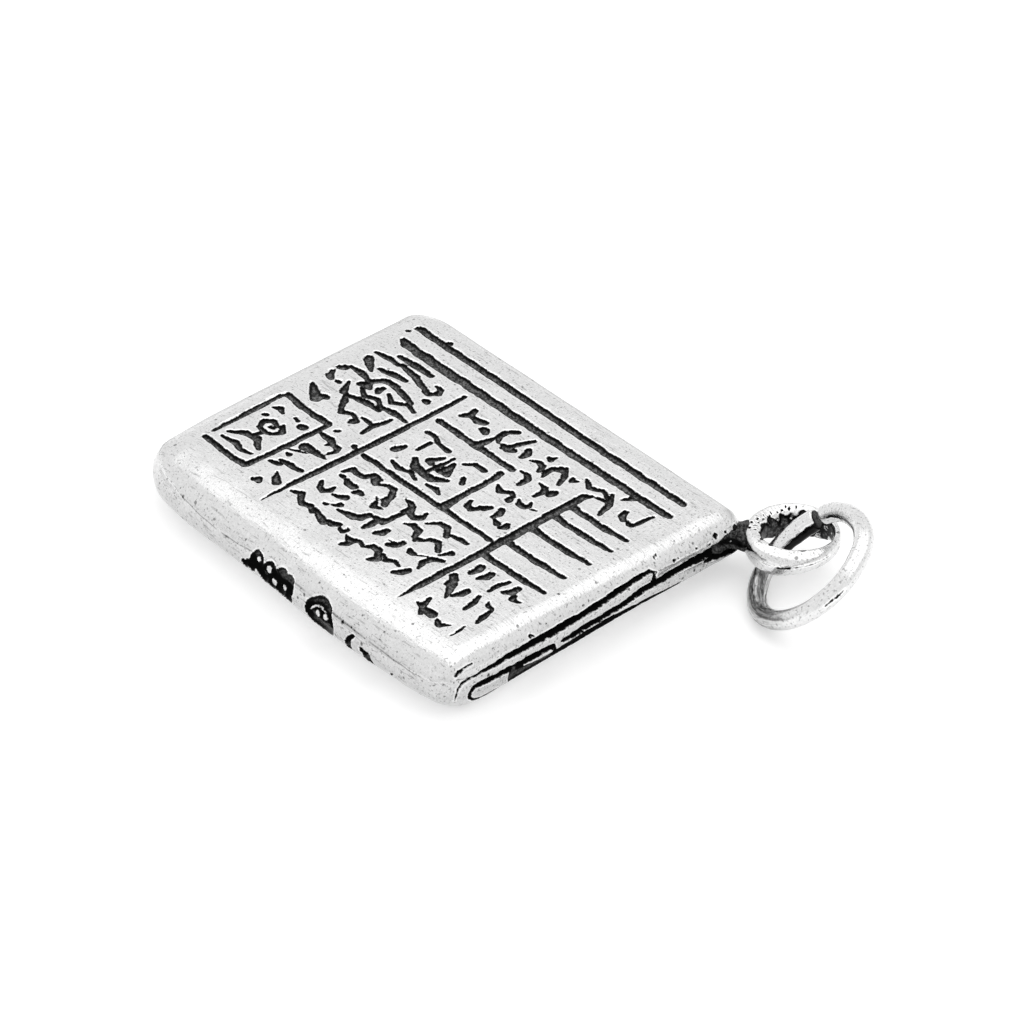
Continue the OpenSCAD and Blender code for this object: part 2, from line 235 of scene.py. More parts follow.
# %% Rows of type marks
# Columns: x, y, kind, turn in degrees, size
MARKS = [
    # The headline: long strokes that nearly touch, one line over another
    (-5.7, 3.9, "bar", 2, 1.75), (-6.75, 3.45, "bar", 4, 1.35), (-5.15, 3.38, "bar", -14, 1.85),
    (-4.0, 3.36, "bow", 78, 0.95), (-6.86, 2.66, "wedge", -32, 1.45), (-5.8, 2.92, "bar", 9, 1.25),
    (-4.78, 2.4, "bar", -10, 1.6), (-3.72, 2.78, "blot", -20, 0.8), (-6.72, 2.1, "bar", -6, 1.05),
    (-5.72, 2.2, "hook", 62, 1.35), (-5.98, 1.76, "blot", 0, 1.5), (-5.36, 1.95, "blot", 80, 0.95),
    (-4.2, 1.98, "wave", 6, 1.55), (-7.46, 1.86, "blot", 10, 1.05), (-7.36, 1.26, "bean", -42, 1.15),
    (-6.4, 1.16, "comma", -100, 1.45), (-5.22, 1.42, "wave", -2, 1.3), (-3.95, 1.36, "bar", 3, 1.35),
    (-5.15, 1.0, "bar", 8, 1.45), (-5.72, 0.52, "bar", -52, 0.95), (-5.0, 0.16, "wave", -6, 1.2),
    (-4.12, 0.34, "bar", -4, 0.75), (-3.74, 0.38, "bar", 88, 1.3), (-4.52, -0.02, "blot", 90, 0.8),
    (-7.0, 0.2, "wedge", 148, 1.55), (-6.62, 0.08, "bean", 14, 1.25), (-6.8, 1.16, "blot", 0, 0.5),
    (-4.42, -0.8, "blot", 60, 0.4),
    # Beside the left picture
    (-4.22, -1.4, "bar", -9, 1.0), (-3.68, -1.62, "bow", 150, 0.85), (-3.88, -2.28, "wedge", 4, 1.55),
    (-4.38, -2.66, "thin", 28, 1.3), (-3.86, -3.4, "bar", 6, 1.05), (-4.34, -3.7, "bean", 20, 0.75),
    (-4.46, -3.06, "blot", 0, 0.4), (-3.66, -4.2, "wedge", 142, 1.05), (-3.98, -4.84, "blot", 0, 0.95),
    (-3.26, -0.98, "blot", -40, 0.5),
    # The middle story's headline
    (-2.08, 3.42, "bean", 84, 1.15), (-1.5, 3.4, "bean", 12, 1.1), (-0.92, 3.14, "blot", -20, 1.0),
    (-0.2, 3.52, "hook", 96, 1.05), (-0.36, 2.86, "wedge", 78, 1.15), (0.58, 3.52, "bar", 68, 1.15),
    (0.5, 3.1, "bean", 10, 1.05), (1.14, 3.34, "bean", 112, 1.05), (2.0, 3.86, "tick", 30, 0.7),
    (1.98, 3.24, "hook", -16, 0.75), (2.6, 3.34, "hook", 74, 1.0), (3.06, 3.46, "bar", -58, 1.05),
    (2.72, 3.7, "blot", 40, 0.8), (3.52, 3.56, "tick", -20, 0.6), (4.5, 3.84, "wave", -4, 1.35),
    (5.38, 3.48, "bar", -64, 1.15), (5.6, 4.3, "wedge", -112, 0.8), (6.26, 3.5, "bean", -48, 0.8),
    (6.94, 3.78, "bar", 82, 0.85), (6.78, 3.4, "tick", 10, 0.5), (5.08, 3.58, "bar", 14, 0.6),
    # Short lines beside the middle picture
    (2.22, 2.36, "hook", -42, 1.0), (3.2, 2.34, "hook", -50, 0.85), (3.62, 2.46, "blot", 84, 1.0),
    (2.42, 1.34, "wave", 3, 1.1), (2.82, 1.24, "comma", -110, 0.85), (3.42, 1.3, "bow", 20, 0.8),
    (3.9, 1.36, "thin", 30, 0.5), (2.34, -0.14, "bow", 6, 0.8), (2.72, 0.2, "blot", 70, 0.85),
    (3.22, 0.28, "bean", 104, 1.05), (3.52, -0.08, "comma", -60, 0.8), (3.96, -0.04, "bean", 88, 0.75),
    # The lower story, four lines
    (-1.72, -1.78, "worm", 26, 1.02), (-1.16, -1.72, "bean", -40, 0.9), (-0.42, -1.7, "hook", -6, 1.1),
    (0.06, -2.14, "bean", -64, 1.15), (0.8, -1.8, "hook", -40, 0.8), (1.38, -1.92, "bow", 6, 1.0),
    (2.54, -1.74, "hook", 4, 1.15), (3.52, -1.72, "bar", 4, 0.72), (-2.12, -2.4, "blot", 0, 0.55),
    (-1.6, -2.52, "bean", -8, 1.15), (-0.98, -2.64, "blot", 24, 1.0), (0.04, -2.68, "tick", -30, 0.9),
    (1.0, -2.72, "bar", 86, 0.95), (0.76, -3.04, "bean", 16, 0.95), (0.74, -3.5, "bean", 92, 1.15),
    (1.98, -2.52, "hook", -10, 1.1), (3.04, -2.54, "hook", 10, 0.98), (3.88, -2.62, "comma", 20, 1.0),
    (2.52, -2.8, "blot", 60, 0.6), (-0.24, -2.42, "thin", -30, 0.5), (-2.0, -3.34, "bow", 12, 0.92),
    (-1.22, -3.26, "comma", -16, 1.15), (-0.94, -3.66, "comma", 8, 0.7),
    (-0.36, -3.72, "wedge", 196, 1.2), (0.16, -3.46, "bean", 52, 1.2), (1.38, -3.48, "bean", 76, 1.05),
    (2.22, -3.56, "bean", 58, 1.0), (2.96, -3.46, "bean", -14, 0.7), (3.34, -3.36, "thin", 46, 1.0),
    (3.8, -3.36, "hook", 78, 1.05), (-1.22, -3.92, "blot", 0, 0.3), (2.08, -3.54, "thin", 0, 0.6),
    (-1.86, -4.36, "worm", -12, 0.98), (-0.86, -4.46, "wedge", 160, 1.35),
    (-0.18, -4.42, "bean", 26, 0.85), (0.34, -4.42, "bow", 34, 0.58), (1.16, -4.48, "wave", 4, 1.0),
    (1.06, -4.82, "bean", 66, 0.8), (1.98, -4.36, "hook", 2, 1.1), (2.4, -4.58, "bean", 84, 0.95),
    (2.92, -4.3, "wave", 6, 0.8), (3.62, -4.42, "bean", 66, 1.05),
    # The lower right corner
    (5.28, -2.42, "bean", 96, 1.15), (5.78, -2.42, "bean", 84, 1.0), (6.48, -2.46, "bar", 88, 0.85),
    (6.98, -2.28, "bean", 80, 1.15), (7.42, -2.52, "tick", -30, 0.85), (5.14, -3.42, "bean", 118, 1.2),
    (5.54, -3.9, "wedge", -54, 1.05), (5.96, -3.68, "bean", 82, 1.0), (6.6, -3.74, "bar", -76, 0.95),
    (7.18, -3.42, "wave", -22, 0.6), (7.44, -3.96, "bar", -78, 0.85), (5.74, -5.12, "wedge", 176, 1.2),
    (5.62, -5.06, "bar", 118, 0.86), (6.8, -5.28, "tick", -4, 0.95), (7.44, -5.1, "thin", -80, 1.15),
    (-6.0, 5.8, "blot", 0, 0.5), (-7.7, 5.22, "blot", 0, 0.35),
]
rng = np.random.RandomState(20)


def mark_strokes(x, y, kind, turn, size):
    """A kind's path, turned and sized, with each point and width moved a little at random."""
    path = np.array(KINDS[kind])
    places = path[:, :2] * size * rng.uniform(0.9, 1.1) + rng.uniform(-0.03, 0.03, (len(path), 2))
    c, s = math.cos(math.radians(turn)), math.sin(math.radians(turn))
    places = places @ np.array([[c, s], [-s, c]]) + (x, y)
    # A mark's width grows less than its length
    widen = 0.35 + 0.65 * size if size < 1 else size ** 0.35
    widths = path[:, 2] * widen * rng.uniform(0.85, 1.12, len(path))
    return strokes_of([np.column_stack([places, widths]).tolist()])


type_strokes = [s for row in MARKS for s in mark_strokes(*row)]
print(len(MARKS), "marks in", len(type_strokes), "strokes")

# %% [markdown]
# ## Two small pictures
# The page has a framed picture on the left and another in its middle. A hill
# with a tree under a sun, and a sailing boat on waves under clouds, stand there
# in strokes of the same weight as the type.

# %% Pictures
PICTURES = {
    "hill": [
        [(-7.0, -3.75, 0.14), (-6.5, -3.36, 0.28), (-5.95, -3.28, 0.3), (-5.42, -3.66, 0.16)],
        [(-6.95, -4.12, 0.12), (-6.3, -4.02, 0.26), (-5.9, -4.14, 0.22), (-5.35, -4.06, 0.12)],
    ],
    "tree": [
        [(-6.2, -3.32, 0.24), (-6.14, -2.78, 0.16)],
        [(-6.1, -2.82, 0.24), (-6.5, -2.76, 0.16), (-6.66, -2.44, 0.26), (-6.42, -2.14, 0.2),
         (-6.08, -2.26, 0.14)],
        [(-5.96, -2.1, 0.16), (-5.68, -2.4, 0.26), (-5.84, -2.72, 0.18), (-6.1, -2.82, 0.24)],
        [(-6.24, -2.46, 0.14), (-6.06, -2.42, 0.12)],
    ],
    "sun": [
        [(-5.48, -1.62, 0.36), (-5.38, -1.58, 0.34)],
        [(-6.02, -1.46, 0.12), (-5.82, -1.5, 0.14)],
        [(-7.12, -1.62, 0.1), (-6.86, -1.48, 0.24), (-6.58, -1.6, 0.12)],
        [(-7.02, -2.16, 0.16), (-6.88, -2.1, 0.18)],
    ],
    "boat": [
        [(-1.3, 0.22, 0.16), (-0.85, -0.12, 0.34), (0.1, -0.16, 0.36), (0.55, 0.2, 0.16)],
        [(-0.36, 0.02, 0.2), (-0.34, 0.7, 0.18), (-0.3, 1.22, 0.14)],
        [(-0.08, 0.38, 0.26), (0.28, 0.4, 0.24), (-0.04, 1.02, 0.16), (-0.06, 0.6, 0.3)],
        [(-0.6, 0.98, 0.16), (-0.84, 0.5, 0.3), (-0.58, 0.42, 0.2)],
    ],
    "sea": [
        [(-1.7, -0.48, 0.12), (-1.2, -0.62, 0.24), (-0.7, -0.44, 0.18), (-0.25, -0.62, 0.12)],
        [(0.2, -0.52, 0.12), (0.66, -0.42, 0.26), (0.98, -0.56, 0.12)],
    ],
    "clouds": [
        [(-2.24, 1.58, 0.2), (-1.8, 1.62, 0.18), (-1.44, 1.42, 0.16), (-0.8, 1.38, 0.22)],
        [(0.16, 1.28, 0.12), (0.5, 1.58, 0.2), (0.98, 1.56, 0.22)],
        [(-2.16, 0.04, 0.34), (-2.06, 0.42, 0.18)],
        [(-1.62, 1.22, 0.18), (-1.6, 0.62, 0.14)],
        [(0.82, 0.72, 0.16), (1.04, 0.48, 0.22)],
    ],
}
page_strokes = rule_strokes + type_strokes
for paths in PICTURES.values():
    page_strokes += strokes_of(paths)
print(len(page_strokes), "strokes on the page")

# %% [markdown]
# ## The cushion form of the folded paper
# A folded newspaper is flat above and below and rounded at its sides, most of all
# at the fold. A box with a Bevel modifier would round every side alike. This form
# is a grid: past the flat's edge each direction turns through its own quarter
# ellipse, and in a corner the two turns combine to part of an ellipsoid.

# %% Grid lines
# How far each side's turn reaches in from the edge, and how many grid lines it has
REACH = {"spine": 1.9, "leaf": 0.95, "fold": 1.6, "head": 0.95}
STEPS = {"spine": 18, "leaf": 34, "fold": 34, "head": 20}
# Above 1, a side's lines stand closer together by the flat than lower down
CROWDING = {"spine": 1.5, "leaf": 1.0, "fold": 1.0, "head": 1.0}
FLAT_STEPS_X, FLAT_STEPS_Y = 250, 180


def turn_sines(side):
    """Sines of the turn at a side's lines, which are spaced by arc length on its quarter ellipse."""
    fine = np.linspace(0, np.pi / 2, 2000)
    run = np.hypot(np.diff(REACH[side] * np.sin(fine)), np.diff(MID_Z * np.cos(fine)))
    arc = np.concatenate([[0], np.cumsum(run)])
    part = np.linspace(0, 1, STEPS[side] + 1)[1:] ** CROWDING[side]
    return np.sin(np.interp(part * arc[-1], arc, fine))


def grid_lines(half, low_side, high_side, flat_steps):
    """Places on the flat, sines of the turn beyond it, and reach, for one direction of the grid."""
    flat = np.linspace(REACH[low_side] - half, half - REACH[high_side], flat_steps + 1)
    before, after = -turn_sines(low_side)[::-1], turn_sines(high_side)
    place = np.concatenate([np.full(len(before), flat[0]), flat, np.full(len(after), flat[-1])])
    turn = np.concatenate([before, np.zeros(flat_steps + 1), after])
    return place, turn, np.where(turn < 0, REACH[low_side], REACH[high_side])


place_x, turn_x, reach_x = grid_lines(HALF_W, "spine", "leaf", FLAT_STEPS_X)
place_y, turn_y, reach_y = grid_lines(HALF_D, "fold", "head", FLAT_STEPS_Y)
print("grid of", len(place_x), "by", len(place_y), "lines")


# %% Halves of the cushion
def cushion(side):
    """Points and outward normals of the upper (side 1) or lower (side -1) half.

    x = flat x + reach * a * sqrt(1 - b^2 / 2) with a and b the sines of the two
    turns, y in the same way, and z = middle + half thickness * both cosines.
    """
    a, b = np.meshgrid(turn_x, turn_y, indexing="ij")
    fx, fy = np.meshgrid(place_x, place_y, indexing="ij")
    rx, ry = np.meshgrid(reach_x, reach_y, indexing="ij")
    out_x, out_y = a * np.sqrt(1 - b * b / 2), b * np.sqrt(1 - a * a / 2)
    up = np.sqrt(np.clip((1 - a * a) * (1 - b * b), 0, 1))
    points = np.stack([fx + rx * out_x, fy + ry * out_y, MID_Z + side * MID_Z * up], -1)
    normals = np.stack([out_x / rx, out_y / ry, side * up / MID_Z], -1)
    return points, normals / np.linalg.norm(normals, axis=-1, keepdims=True)


# %% [markdown]
# ## Leaves on the end
# Seen from its end the paper is an outer sheet, a tongue of inner leaves and a
# small loop by the fold, with deep black gaps between them. They could be separate
# sheets, but a cast charm is one lump, so each gap is a line of changing depth and
# width that is cut into the same surface.

# %% Gaps between the leaves
# Columns of the gaps: y, depth below the page's top, width
OUTER_GAP = np.array([
    (-5.8, 0.88, 0.09), (-5.5, 0.85, 0.11), (-5.0, 0.83, 0.14), (-4.0, 0.8, 0.23), (-3.0, 0.78, 0.3),
    (-2.0, 0.76, 0.31), (-1.0, 0.73, 0.28), (0.0, 0.67, 0.27), (1.0, 0.57, 0.25), (2.0, 0.46, 0.17),
    (2.45, 0.47, 0.12),
])
MIDDLE_GAP = np.array([
    (-1.72, 1.31, 0.14), (-1.5, 1.31, 0.24), (-1.0, 1.28, 0.28), (-0.5, 1.24, 0.27), (0.0, 1.22, 0.27),
    (1.0, 1.15, 0.24), (1.5, 1.09, 0.25), (2.0, 1.01, 0.28), (3.0, 0.97, 0.27), (4.0, 0.93, 0.28),
    (5.0, 0.93, 0.34), (5.5, 0.97, 0.5), (6.0, 1.02, 0.8), (6.3, 1.05, 0.9),
])
INNER_GAP = np.array([
    (-2.05, 1.76, 0.24), (-1.8, 1.72, 0.34), (-1.1, 1.68, 0.42), (-0.5, 1.64, 0.42), (0.0, 1.61, 0.43),
    (0.5, 1.59, 0.41), (1.0, 1.58, 0.38), (1.5, 1.58, 0.34), (2.0, 1.57, 0.3), (2.5, 1.57, 0.24),
    (3.0, 1.57, 0.18), (3.8, 1.56, 0.08),
])
LOOP_GAP = np.array([
    (-5.66, 1.28, 0.15), (-5.4, 1.3, 0.24), (-5.0, 1.31, 0.25), (-4.0, 1.33, 0.27), (-3.0, 1.33, 0.3),
    (-2.14, 1.33, 0.24),
])
# Thinner lines, with the same columns. The crease is where the top sheet turns down at
# the near corner, and the link slants from the pocket to the gap beside it
END_LINES = {
    "loop turn": [
        (-5.52, 1.27, 0.18), (-5.72, 1.34, 0.16), (-5.8, 1.5, 0.15), (-5.78, 1.74, 0.13),
        (-5.64, 1.92, 0.12), (-5.34, 1.98, 0.11), (-4.5, 1.98, 0.06),
    ],
    "outer sheet's turn": [
        (-6.28, 1.76, 0.03), (-6.31, 1.48, 0.06), (-6.25, 1.2, 0.07), (-6.07, 1.0, 0.08),
        (-5.8, 0.88, 0.09),
    ],
    "tongue's end": [(2.45, 0.46, 0.12), (2.6, 0.56, 0.1), (2.58, 0.72, 0.12), (2.48, 0.88, 0.16)],
    "crease": [(-6.34, 0.62, 0.06), (-6.16, 0.52, 0.11), (-5.92, 0.44, 0.07), (-5.6, 0.38, 0.03)],
    "bail's end": [(4.92, 1.22, 0.16), (5.4, 1.22, 0.26), (6.1, 1.14, 0.6)],
    "link": [(-2.16, 1.46, 0.1), (-1.98, 1.66, 0.14), (-1.78, 1.78, 0.16)],
}
# The pocket is a black box, y from and to and depth from and to, round a thin leaf
POCKET, POCKET_ROUNDING = (-4.12, -2.02, 1.22, 2.02), 0.14
POCKET_LEAF = [(-3.44, 1.5, 0.08), (-2.75, 1.5, 0.19), (-2.2, 1.49, 0.24)]
# A raised ridge beside the crease
CORNER_RIDGE = [(-6.78, 1.0, 0.02), (-6.46, 0.71, 0.02), (-6.24, 0.59, 0.02)]
# Deep pits of the casting: y, depth, radius
END_PITS = np.array([
    (-3.05, 0.5, 0.07), (-2.93, 0.54, 0.04), (1.42, 0.72, 0.05), (2.68, 0.62, 0.05), (2.86, 0.2, 0.05),
    (2.96, 0.15, 0.04), (3.58, 0.55, 0.07), (3.74, 0.52, 0.04), (4.62, 0.54, 0.05), (5.56, 0.5, 0.1),
    (5.2, 0.64, 0.05), (6.02, 0.52, 0.06),
])
print("leaf end: 4 gaps,", len(END_LINES), "thinner lines and", len(END_PITS), "pits")


# %% Distance on the leaf end
def gap_distance(y, depth, gap):
    """Signed distance to a gap: how far the depth is from its line, less half its width there."""
    past = np.maximum(gap[0, 0] - y, y - gap[-1, 0])
    aside = depth - np.interp(y, gap[:, 0], gap[:, 1])
    return np.hypot(np.maximum(past, 0), aside) - np.interp(y, gap[:, 0], gap[:, 2]) / 2


def box_distance(y, depth, box, rounding):
    """Signed distance to a box with rounded corners: y from, y to, depth from, depth to."""
    mid_y, mid_depth = (box[0] + box[1]) / 2, (box[2] + box[3]) / 2
    qy = np.abs(y - mid_y) - (box[1] - box[0]) / 2 + rounding
    qd = np.abs(depth - mid_depth) - (box[3] - box[2]) / 2 + rounding
    outside = np.hypot(np.maximum(qy, 0), np.maximum(qd, 0))
    return outside + np.minimum(np.maximum(qy, qd), 0) - rounding


def leaf_end_distance(y, z):
    """Signed distance to the nearest gap, line or pit on the leaf end."""
    depth = PAPER_T - z + 0.016 * waves(y, z, 1.1, 5) + 0.008 * waves(y, z, 0.35, 6)
    y = y + 0.02 * waves(z, y, 0.7, 7)
    leaf = capsule_distance(y, depth, strokes_of([POCKET_LEAF]))
    pocket = np.maximum(box_distance(y, depth, POCKET, POCKET_ROUNDING), -leaf)
    lines = capsule_distance(y, depth, strokes_of(END_LINES.values()))
    gaps = [gap_distance(y, depth, gap) for gap in (OUTER_GAP, MIDDLE_GAP, INNER_GAP, LOOP_GAP)]
    return np.minimum.reduce([*gaps, lines, pocket, spots_distance(y, depth, END_PITS)])


# %% [markdown]
# ## Marks on the fold and the head side
# The fold carries small punch marks: two rows of lobes with pips, an oval with an
# arc and two pips, and two short bars with a pit beside them. A thin parting line
# of the mould runs along the whole fold. The head side has three plain leaf lines.

# %% Marks on the fold
# Columns of the discs: x, height, radius
LOBES = np.array([
    (-1.95, 1.02, 0.2), (-1.6, 1.14, 0.26), (-1.22, 1.52, 0.37), (-0.85, 1.16, 0.32),
    (-0.46, 1.5, 0.36), (-0.4, 1.06, 0.3), (0.16, 1.54, 0.38), (0.1, 1.1, 0.34), (0.6, 1.5, 0.38),
    (0.58, 1.08, 0.3),
])
PIPS = np.array([
    (-1.13, 1.64, 0.1), (-0.5, 1.56, 0.14), (-0.14, 1.27, 0.15), (0.46, 1.36, 0.1),
])
# The oval: x and height of its middle, and its two half axes
OVAL = (2.48, 1.24, 0.80, 0.72)
OVAL_PIPS = np.array([
    (2.42, 1.4, 0.12), (2.8, 1.42, 0.1),
])
# The arc stands at this share of the oval, this far each way, and from this height over its middle
ARC_AT, ARC_HALF, ARC_FROM = 0.60, 0.035, 0.1
# Two short bars and a pit: x, height, width
FOLD_LINES = [
    [(4.34, 1.5, 0.16), (4.14, 1.3, 0.24), (4.02, 1.0, 0.32), (3.98, 0.7, 0.34)],
    [(4.78, 1.16, 0.28), (5.02, 1.02, 0.46), (5.04, 0.7, 0.5)],
    [(6.16, 0.86, 0.12), (6.32, 0.98, 0.08)],
]
# The parting line, as x and height
PARTING = np.array([
    (-7.9, 2.07), (-7.0, 1.95), (-6.0, 1.82), (-5.0, 1.69), (-4.0, 1.61), (-3.2, 1.59), (-2.3, 1.63),
    (-1.5, 1.7), (1.1, 1.76), (3.2, 1.74), (4.5, 1.68), (6.0, 1.61), (7.0, 1.59), (8.0, 1.6),
    (8.6, 1.68),
])
# Three leaf lines on the head side: depth below the top, x from and x to
HEAD_LINES = ((0.70, -7.6, 6.6), (1.20, -7.2, 6.9), (1.70, -7.6, 6.3))
HEAD_LINE_HALF = 0.075
print("fold:", len(LOBES), "lobes,", len(PIPS), "pips, an oval and", len(FOLD_LINES), "lines")


def parting_distance(x, z):
    """Height above the parting line, with a slight waver."""
    return z - np.interp(x, PARTING[:, 0], PARTING[:, 1]) + 0.012 * waves(x, z * 0, 1.2, 14)


def fold_distance(x, z):
    """Signed distance to the punch marks on the fold, seen from its side."""
    wx = x + 0.02 * waves(x, z, 0.7, 8)
    wz = z + 0.02 * waves(x, z, 0.7, 9)
    lobes = np.maximum(spots_distance(wx, wz, LOBES), -spots_distance(wx, wz, PIPS))
    cx, cz, ax, az = OVAL
    around = np.hypot((wx - cx) / ax, (wz - cz) / az)
    # A thin bright arc and two pips stand in the oval
    arc = only_where(wz > cz + ARC_FROM, np.abs(around - ARC_AT) * ax - ARC_HALF)
    oval = np.maximum((around - 1) * az, -np.minimum(arc, spots_distance(wx, wz, OVAL_PIPS)))
    return np.minimum.reduce([lobes, oval, capsule_distance(wx, wz, strokes_of(FOLD_LINES))])


def head_line_distance(x, z):
    """Signed distance to the straight leaf lines on the head side."""
    waver = 0.02 * waves(x, z, 1.5, 13)
    return np.minimum.reduce([
        np.hypot(np.maximum(np.maximum(a - x, x - b), 0), PAPER_T - z - depth + waver) - HEAD_LINE_HALF
        for depth, a, b in HEAD_LINES
    ])


# %% [markdown]
# ## Unevenness of the casting
# A cushion worked out by formula looks machined. A lattice or sculpt brush could
# bend it, but named bumps are easier to keep: a corner that is trimmed, a fold
# that swells, sides that stand out and a leaf end that turns back under.

# %% Shape of the casting
# How far the corner by the spine moves in along x and y, and how much more below the parting line
CORNER_AT = (0.45 - HALF_W, 0.45 - HALF_D)
CORNER_IN, CORNER_LOWER, CORNER_SPREAD = (0.13, 0.17), (0.11, 0.14), 2.1
# The near corner is a little rounder below: its place, how far it moves in, and over what distance
NEAR_AT, NEAR_IN, NEAR_SPREAD = (HALF_W - 0.7, 0.5 - HALF_D), 0.15, 0.9
# How far the fold swells, how much more below the parting line, where along it and how wide
SWELL, SWELL_LOWER, SWELL_X, SWELL_SPREAD = 0.12, 0.06, 3.3, 3.2
# The spine runs out by this share of the way from here to the head
SPINE_OUT, SPINE_FROM = 0.025, -5.7
# Both far sides stand out a little more, by this much along x and y
FAR_OUT = (0.05, 0.08)
# How far the page sinks as it nears the fold
CROWN = 0.025
# Where each of these begins, and over what distance it grows towards its side
FOLD_BAND, CROWN_BAND = (1.6 - HALF_D, 1.4), (2.4 - HALF_D, 1.2)
SPINE_BAND, FAR_SPINE, FAR_HEAD = (2.2 - HALF_W, 2.2), (1.6 - HALF_W, 1.6), (HALF_D - 1.6, 1.6)
# Over what height the step at the parting line is spread
PARTING_STEP = 0.10
# Where the leaf end turns back under: y and height, the slope back, and the x from which it is drawn in
TUCK = np.array([
    (-7.0, 0.0), (-5.6, 0.3), (-4.6, 0.5), (-3.4, 0.6), (-2.0, 0.7), (-1.0, 0.74), (0.0, 0.8),
    (1.0, 0.86), (2.0, 0.9), (3.0, 0.91), (4.0, 0.91), (5.0, 0.95), (6.0, 1.04), (7.1, 1.06),
])
TUCK_SLOPE, TUCK_FROM = 1.1, 7.3
print("leaf end tucked under up to", TUCK[:, 1].max(), "mm high")


def end_x(z):
    """The x of the plain leaf end at the height z, on its quarter ellipses."""
    return HALF_W - REACH["leaf"] * (1 - np.sqrt(np.clip(1 - ((z - MID_Z) / MID_Z) ** 2, 0, 1)))


def tuck_under(x, y, z):
    """x, drawn in where the leaf end turns back under the sheets above it.

    Below the height h(y) the end runs straight back, b = end(h) - slope * (h - z), and what lies
    beyond x0 is scaled to end there: x0 + (x - x0) * (b - x0) / (end(z) - x0).
    """
    h = np.interp(y, TUCK[:, 0], TUCK[:, 1])
    back = end_x(h) - TUCK_SLOPE * (h - z)
    scale = np.clip((back - TUCK_FROM) / (end_x(z) - TUCK_FROM), 0, 1)
    return np.where((z < h) & (x > TUCK_FROM), TUCK_FROM + (x - TUCK_FROM) * scale, x)


def bump_at(x, y, place, spread):
    """A round bump, exp(-(s / spread)^2), with s the distance from a place."""
    return np.exp(-(np.hypot(x - place[0], y - place[1]) / spread) ** 2)


def shape_by_hand(points):
    """The cushion with the small unevennesses of the real casting.

    Both corners of the fold move in by a round bump. The fold swells by
    swell * exp(-((x - x0) / spread)^2), the spine runs out towards the head, both far sides
    stand out, and the page sinks a little towards the fold. The leaf end is tucked under.
    """
    x, y, z = points[..., 0], points[..., 1], points[..., 2]
    moved = points.copy()
    corner = bump_at(x, y, CORNER_AT, CORNER_SPREAD)
    below = smooth_step(0.5 - parting_distance(x, z) / PARTING_STEP)
    swell = np.exp(-((x - SWELL_X) / SWELL_SPREAD) ** 2) * (SWELL + SWELL_LOWER * below)
    moved[..., 0] += corner * (CORNER_IN[0] + CORNER_LOWER[0] * below)
    moved[..., 0] -= SPINE_OUT * np.clip(y - SPINE_FROM, 0, None) * before(x, *SPINE_BAND)
    moved[..., 1] += corner * (CORNER_IN[1] + CORNER_LOWER[1] * below) - before(y, *FOLD_BAND) * swell
    moved[..., 0] -= FAR_OUT[0] * before(x, *FAR_SPINE)
    moved[..., 1] += FAR_OUT[1] * past(y, *FAR_HEAD)
    near = NEAR_IN * below * bump_at(x, y, NEAR_AT, NEAR_SPREAD)
    moved[..., 0] -= near
    moved[..., 1] += near
    moved[..., 2] -= CROWN * before(y, *CROWN_BAND) * past(z, MID_Z, MID_Z)
    moved[..., 0] = tuck_under(moved[..., 0], y, z)
    return moved


# %% [markdown]
# ## Sinking the engraving into the form
# Each kind of cut has its own depth: shallow on the page, deep between the
# leaves. A Boolean modifier would cut sharp walls, so a cut is sunk along the
# surface's own normal instead, and its wall is a smooth step a little wider than
# the grid's cells, like a soft cast edge. The inner leaves also stand back.

# %% Engrave one half
PAGE_DEPTH, FOLD_DEPTH, LEAF_DEPTH, HEAD_DEPTH = 0.14, 0.16, 0.32, 0.25
WALL = 0.10
# Where each side's marks may stand: above this z, beyond this x, before this y and after this y
PAGE_FROM, END_FROM, FOLD_TO, HEAD_FROM = MID_Z + 0.3, HALF_W - 0.75, -HALF_D + 0.9, HALF_D - 0.6
# Every stroke on the page is this much wider to each side
PAGE_MORE = 0.02
# The leaf end's cuts grow over this distance past where they may begin
END_GROWS = 0.2
# The lowest gap is shallower by this much below this depth, as the leaf end turns back there by itself
LOW_GAP_RISE, LOW_GAP_FROM = 0.18, (1.38, 0.12)
# The ridge by the near corner stands out this far, and falls off over this distance
RIDGE_OUT, RIDGE_SPREAD = 0.03, 0.12
# The inner leaves stand back by this much: below a depth, above a height, and between two places on y
INNER_BACK, INNER_DEPTH, INNER_HEIGHT = 0.05, (0.55, 0.2), (0.5, 0.3)
INNER_NEAR, INNER_FAR = (-6.6, 0.5), (HALF_D - 1.2, 1.0)
# Hand finishing takes off this much, a hundredth or so unevenly, and leaves the underside flat
FINISHED_OFF, FLAT_UNDER = 0.012, (0.02, 0.6)
BAIL_MID = np.array([HALF_W + 1.2, HALF_D + 0.8, 1.5])
# Black runs round the solder, out to this far from the bail's middle and up to this height
SOLDER_BLACK, SOLDER_BLACK_TOP = 1.98, 2.06


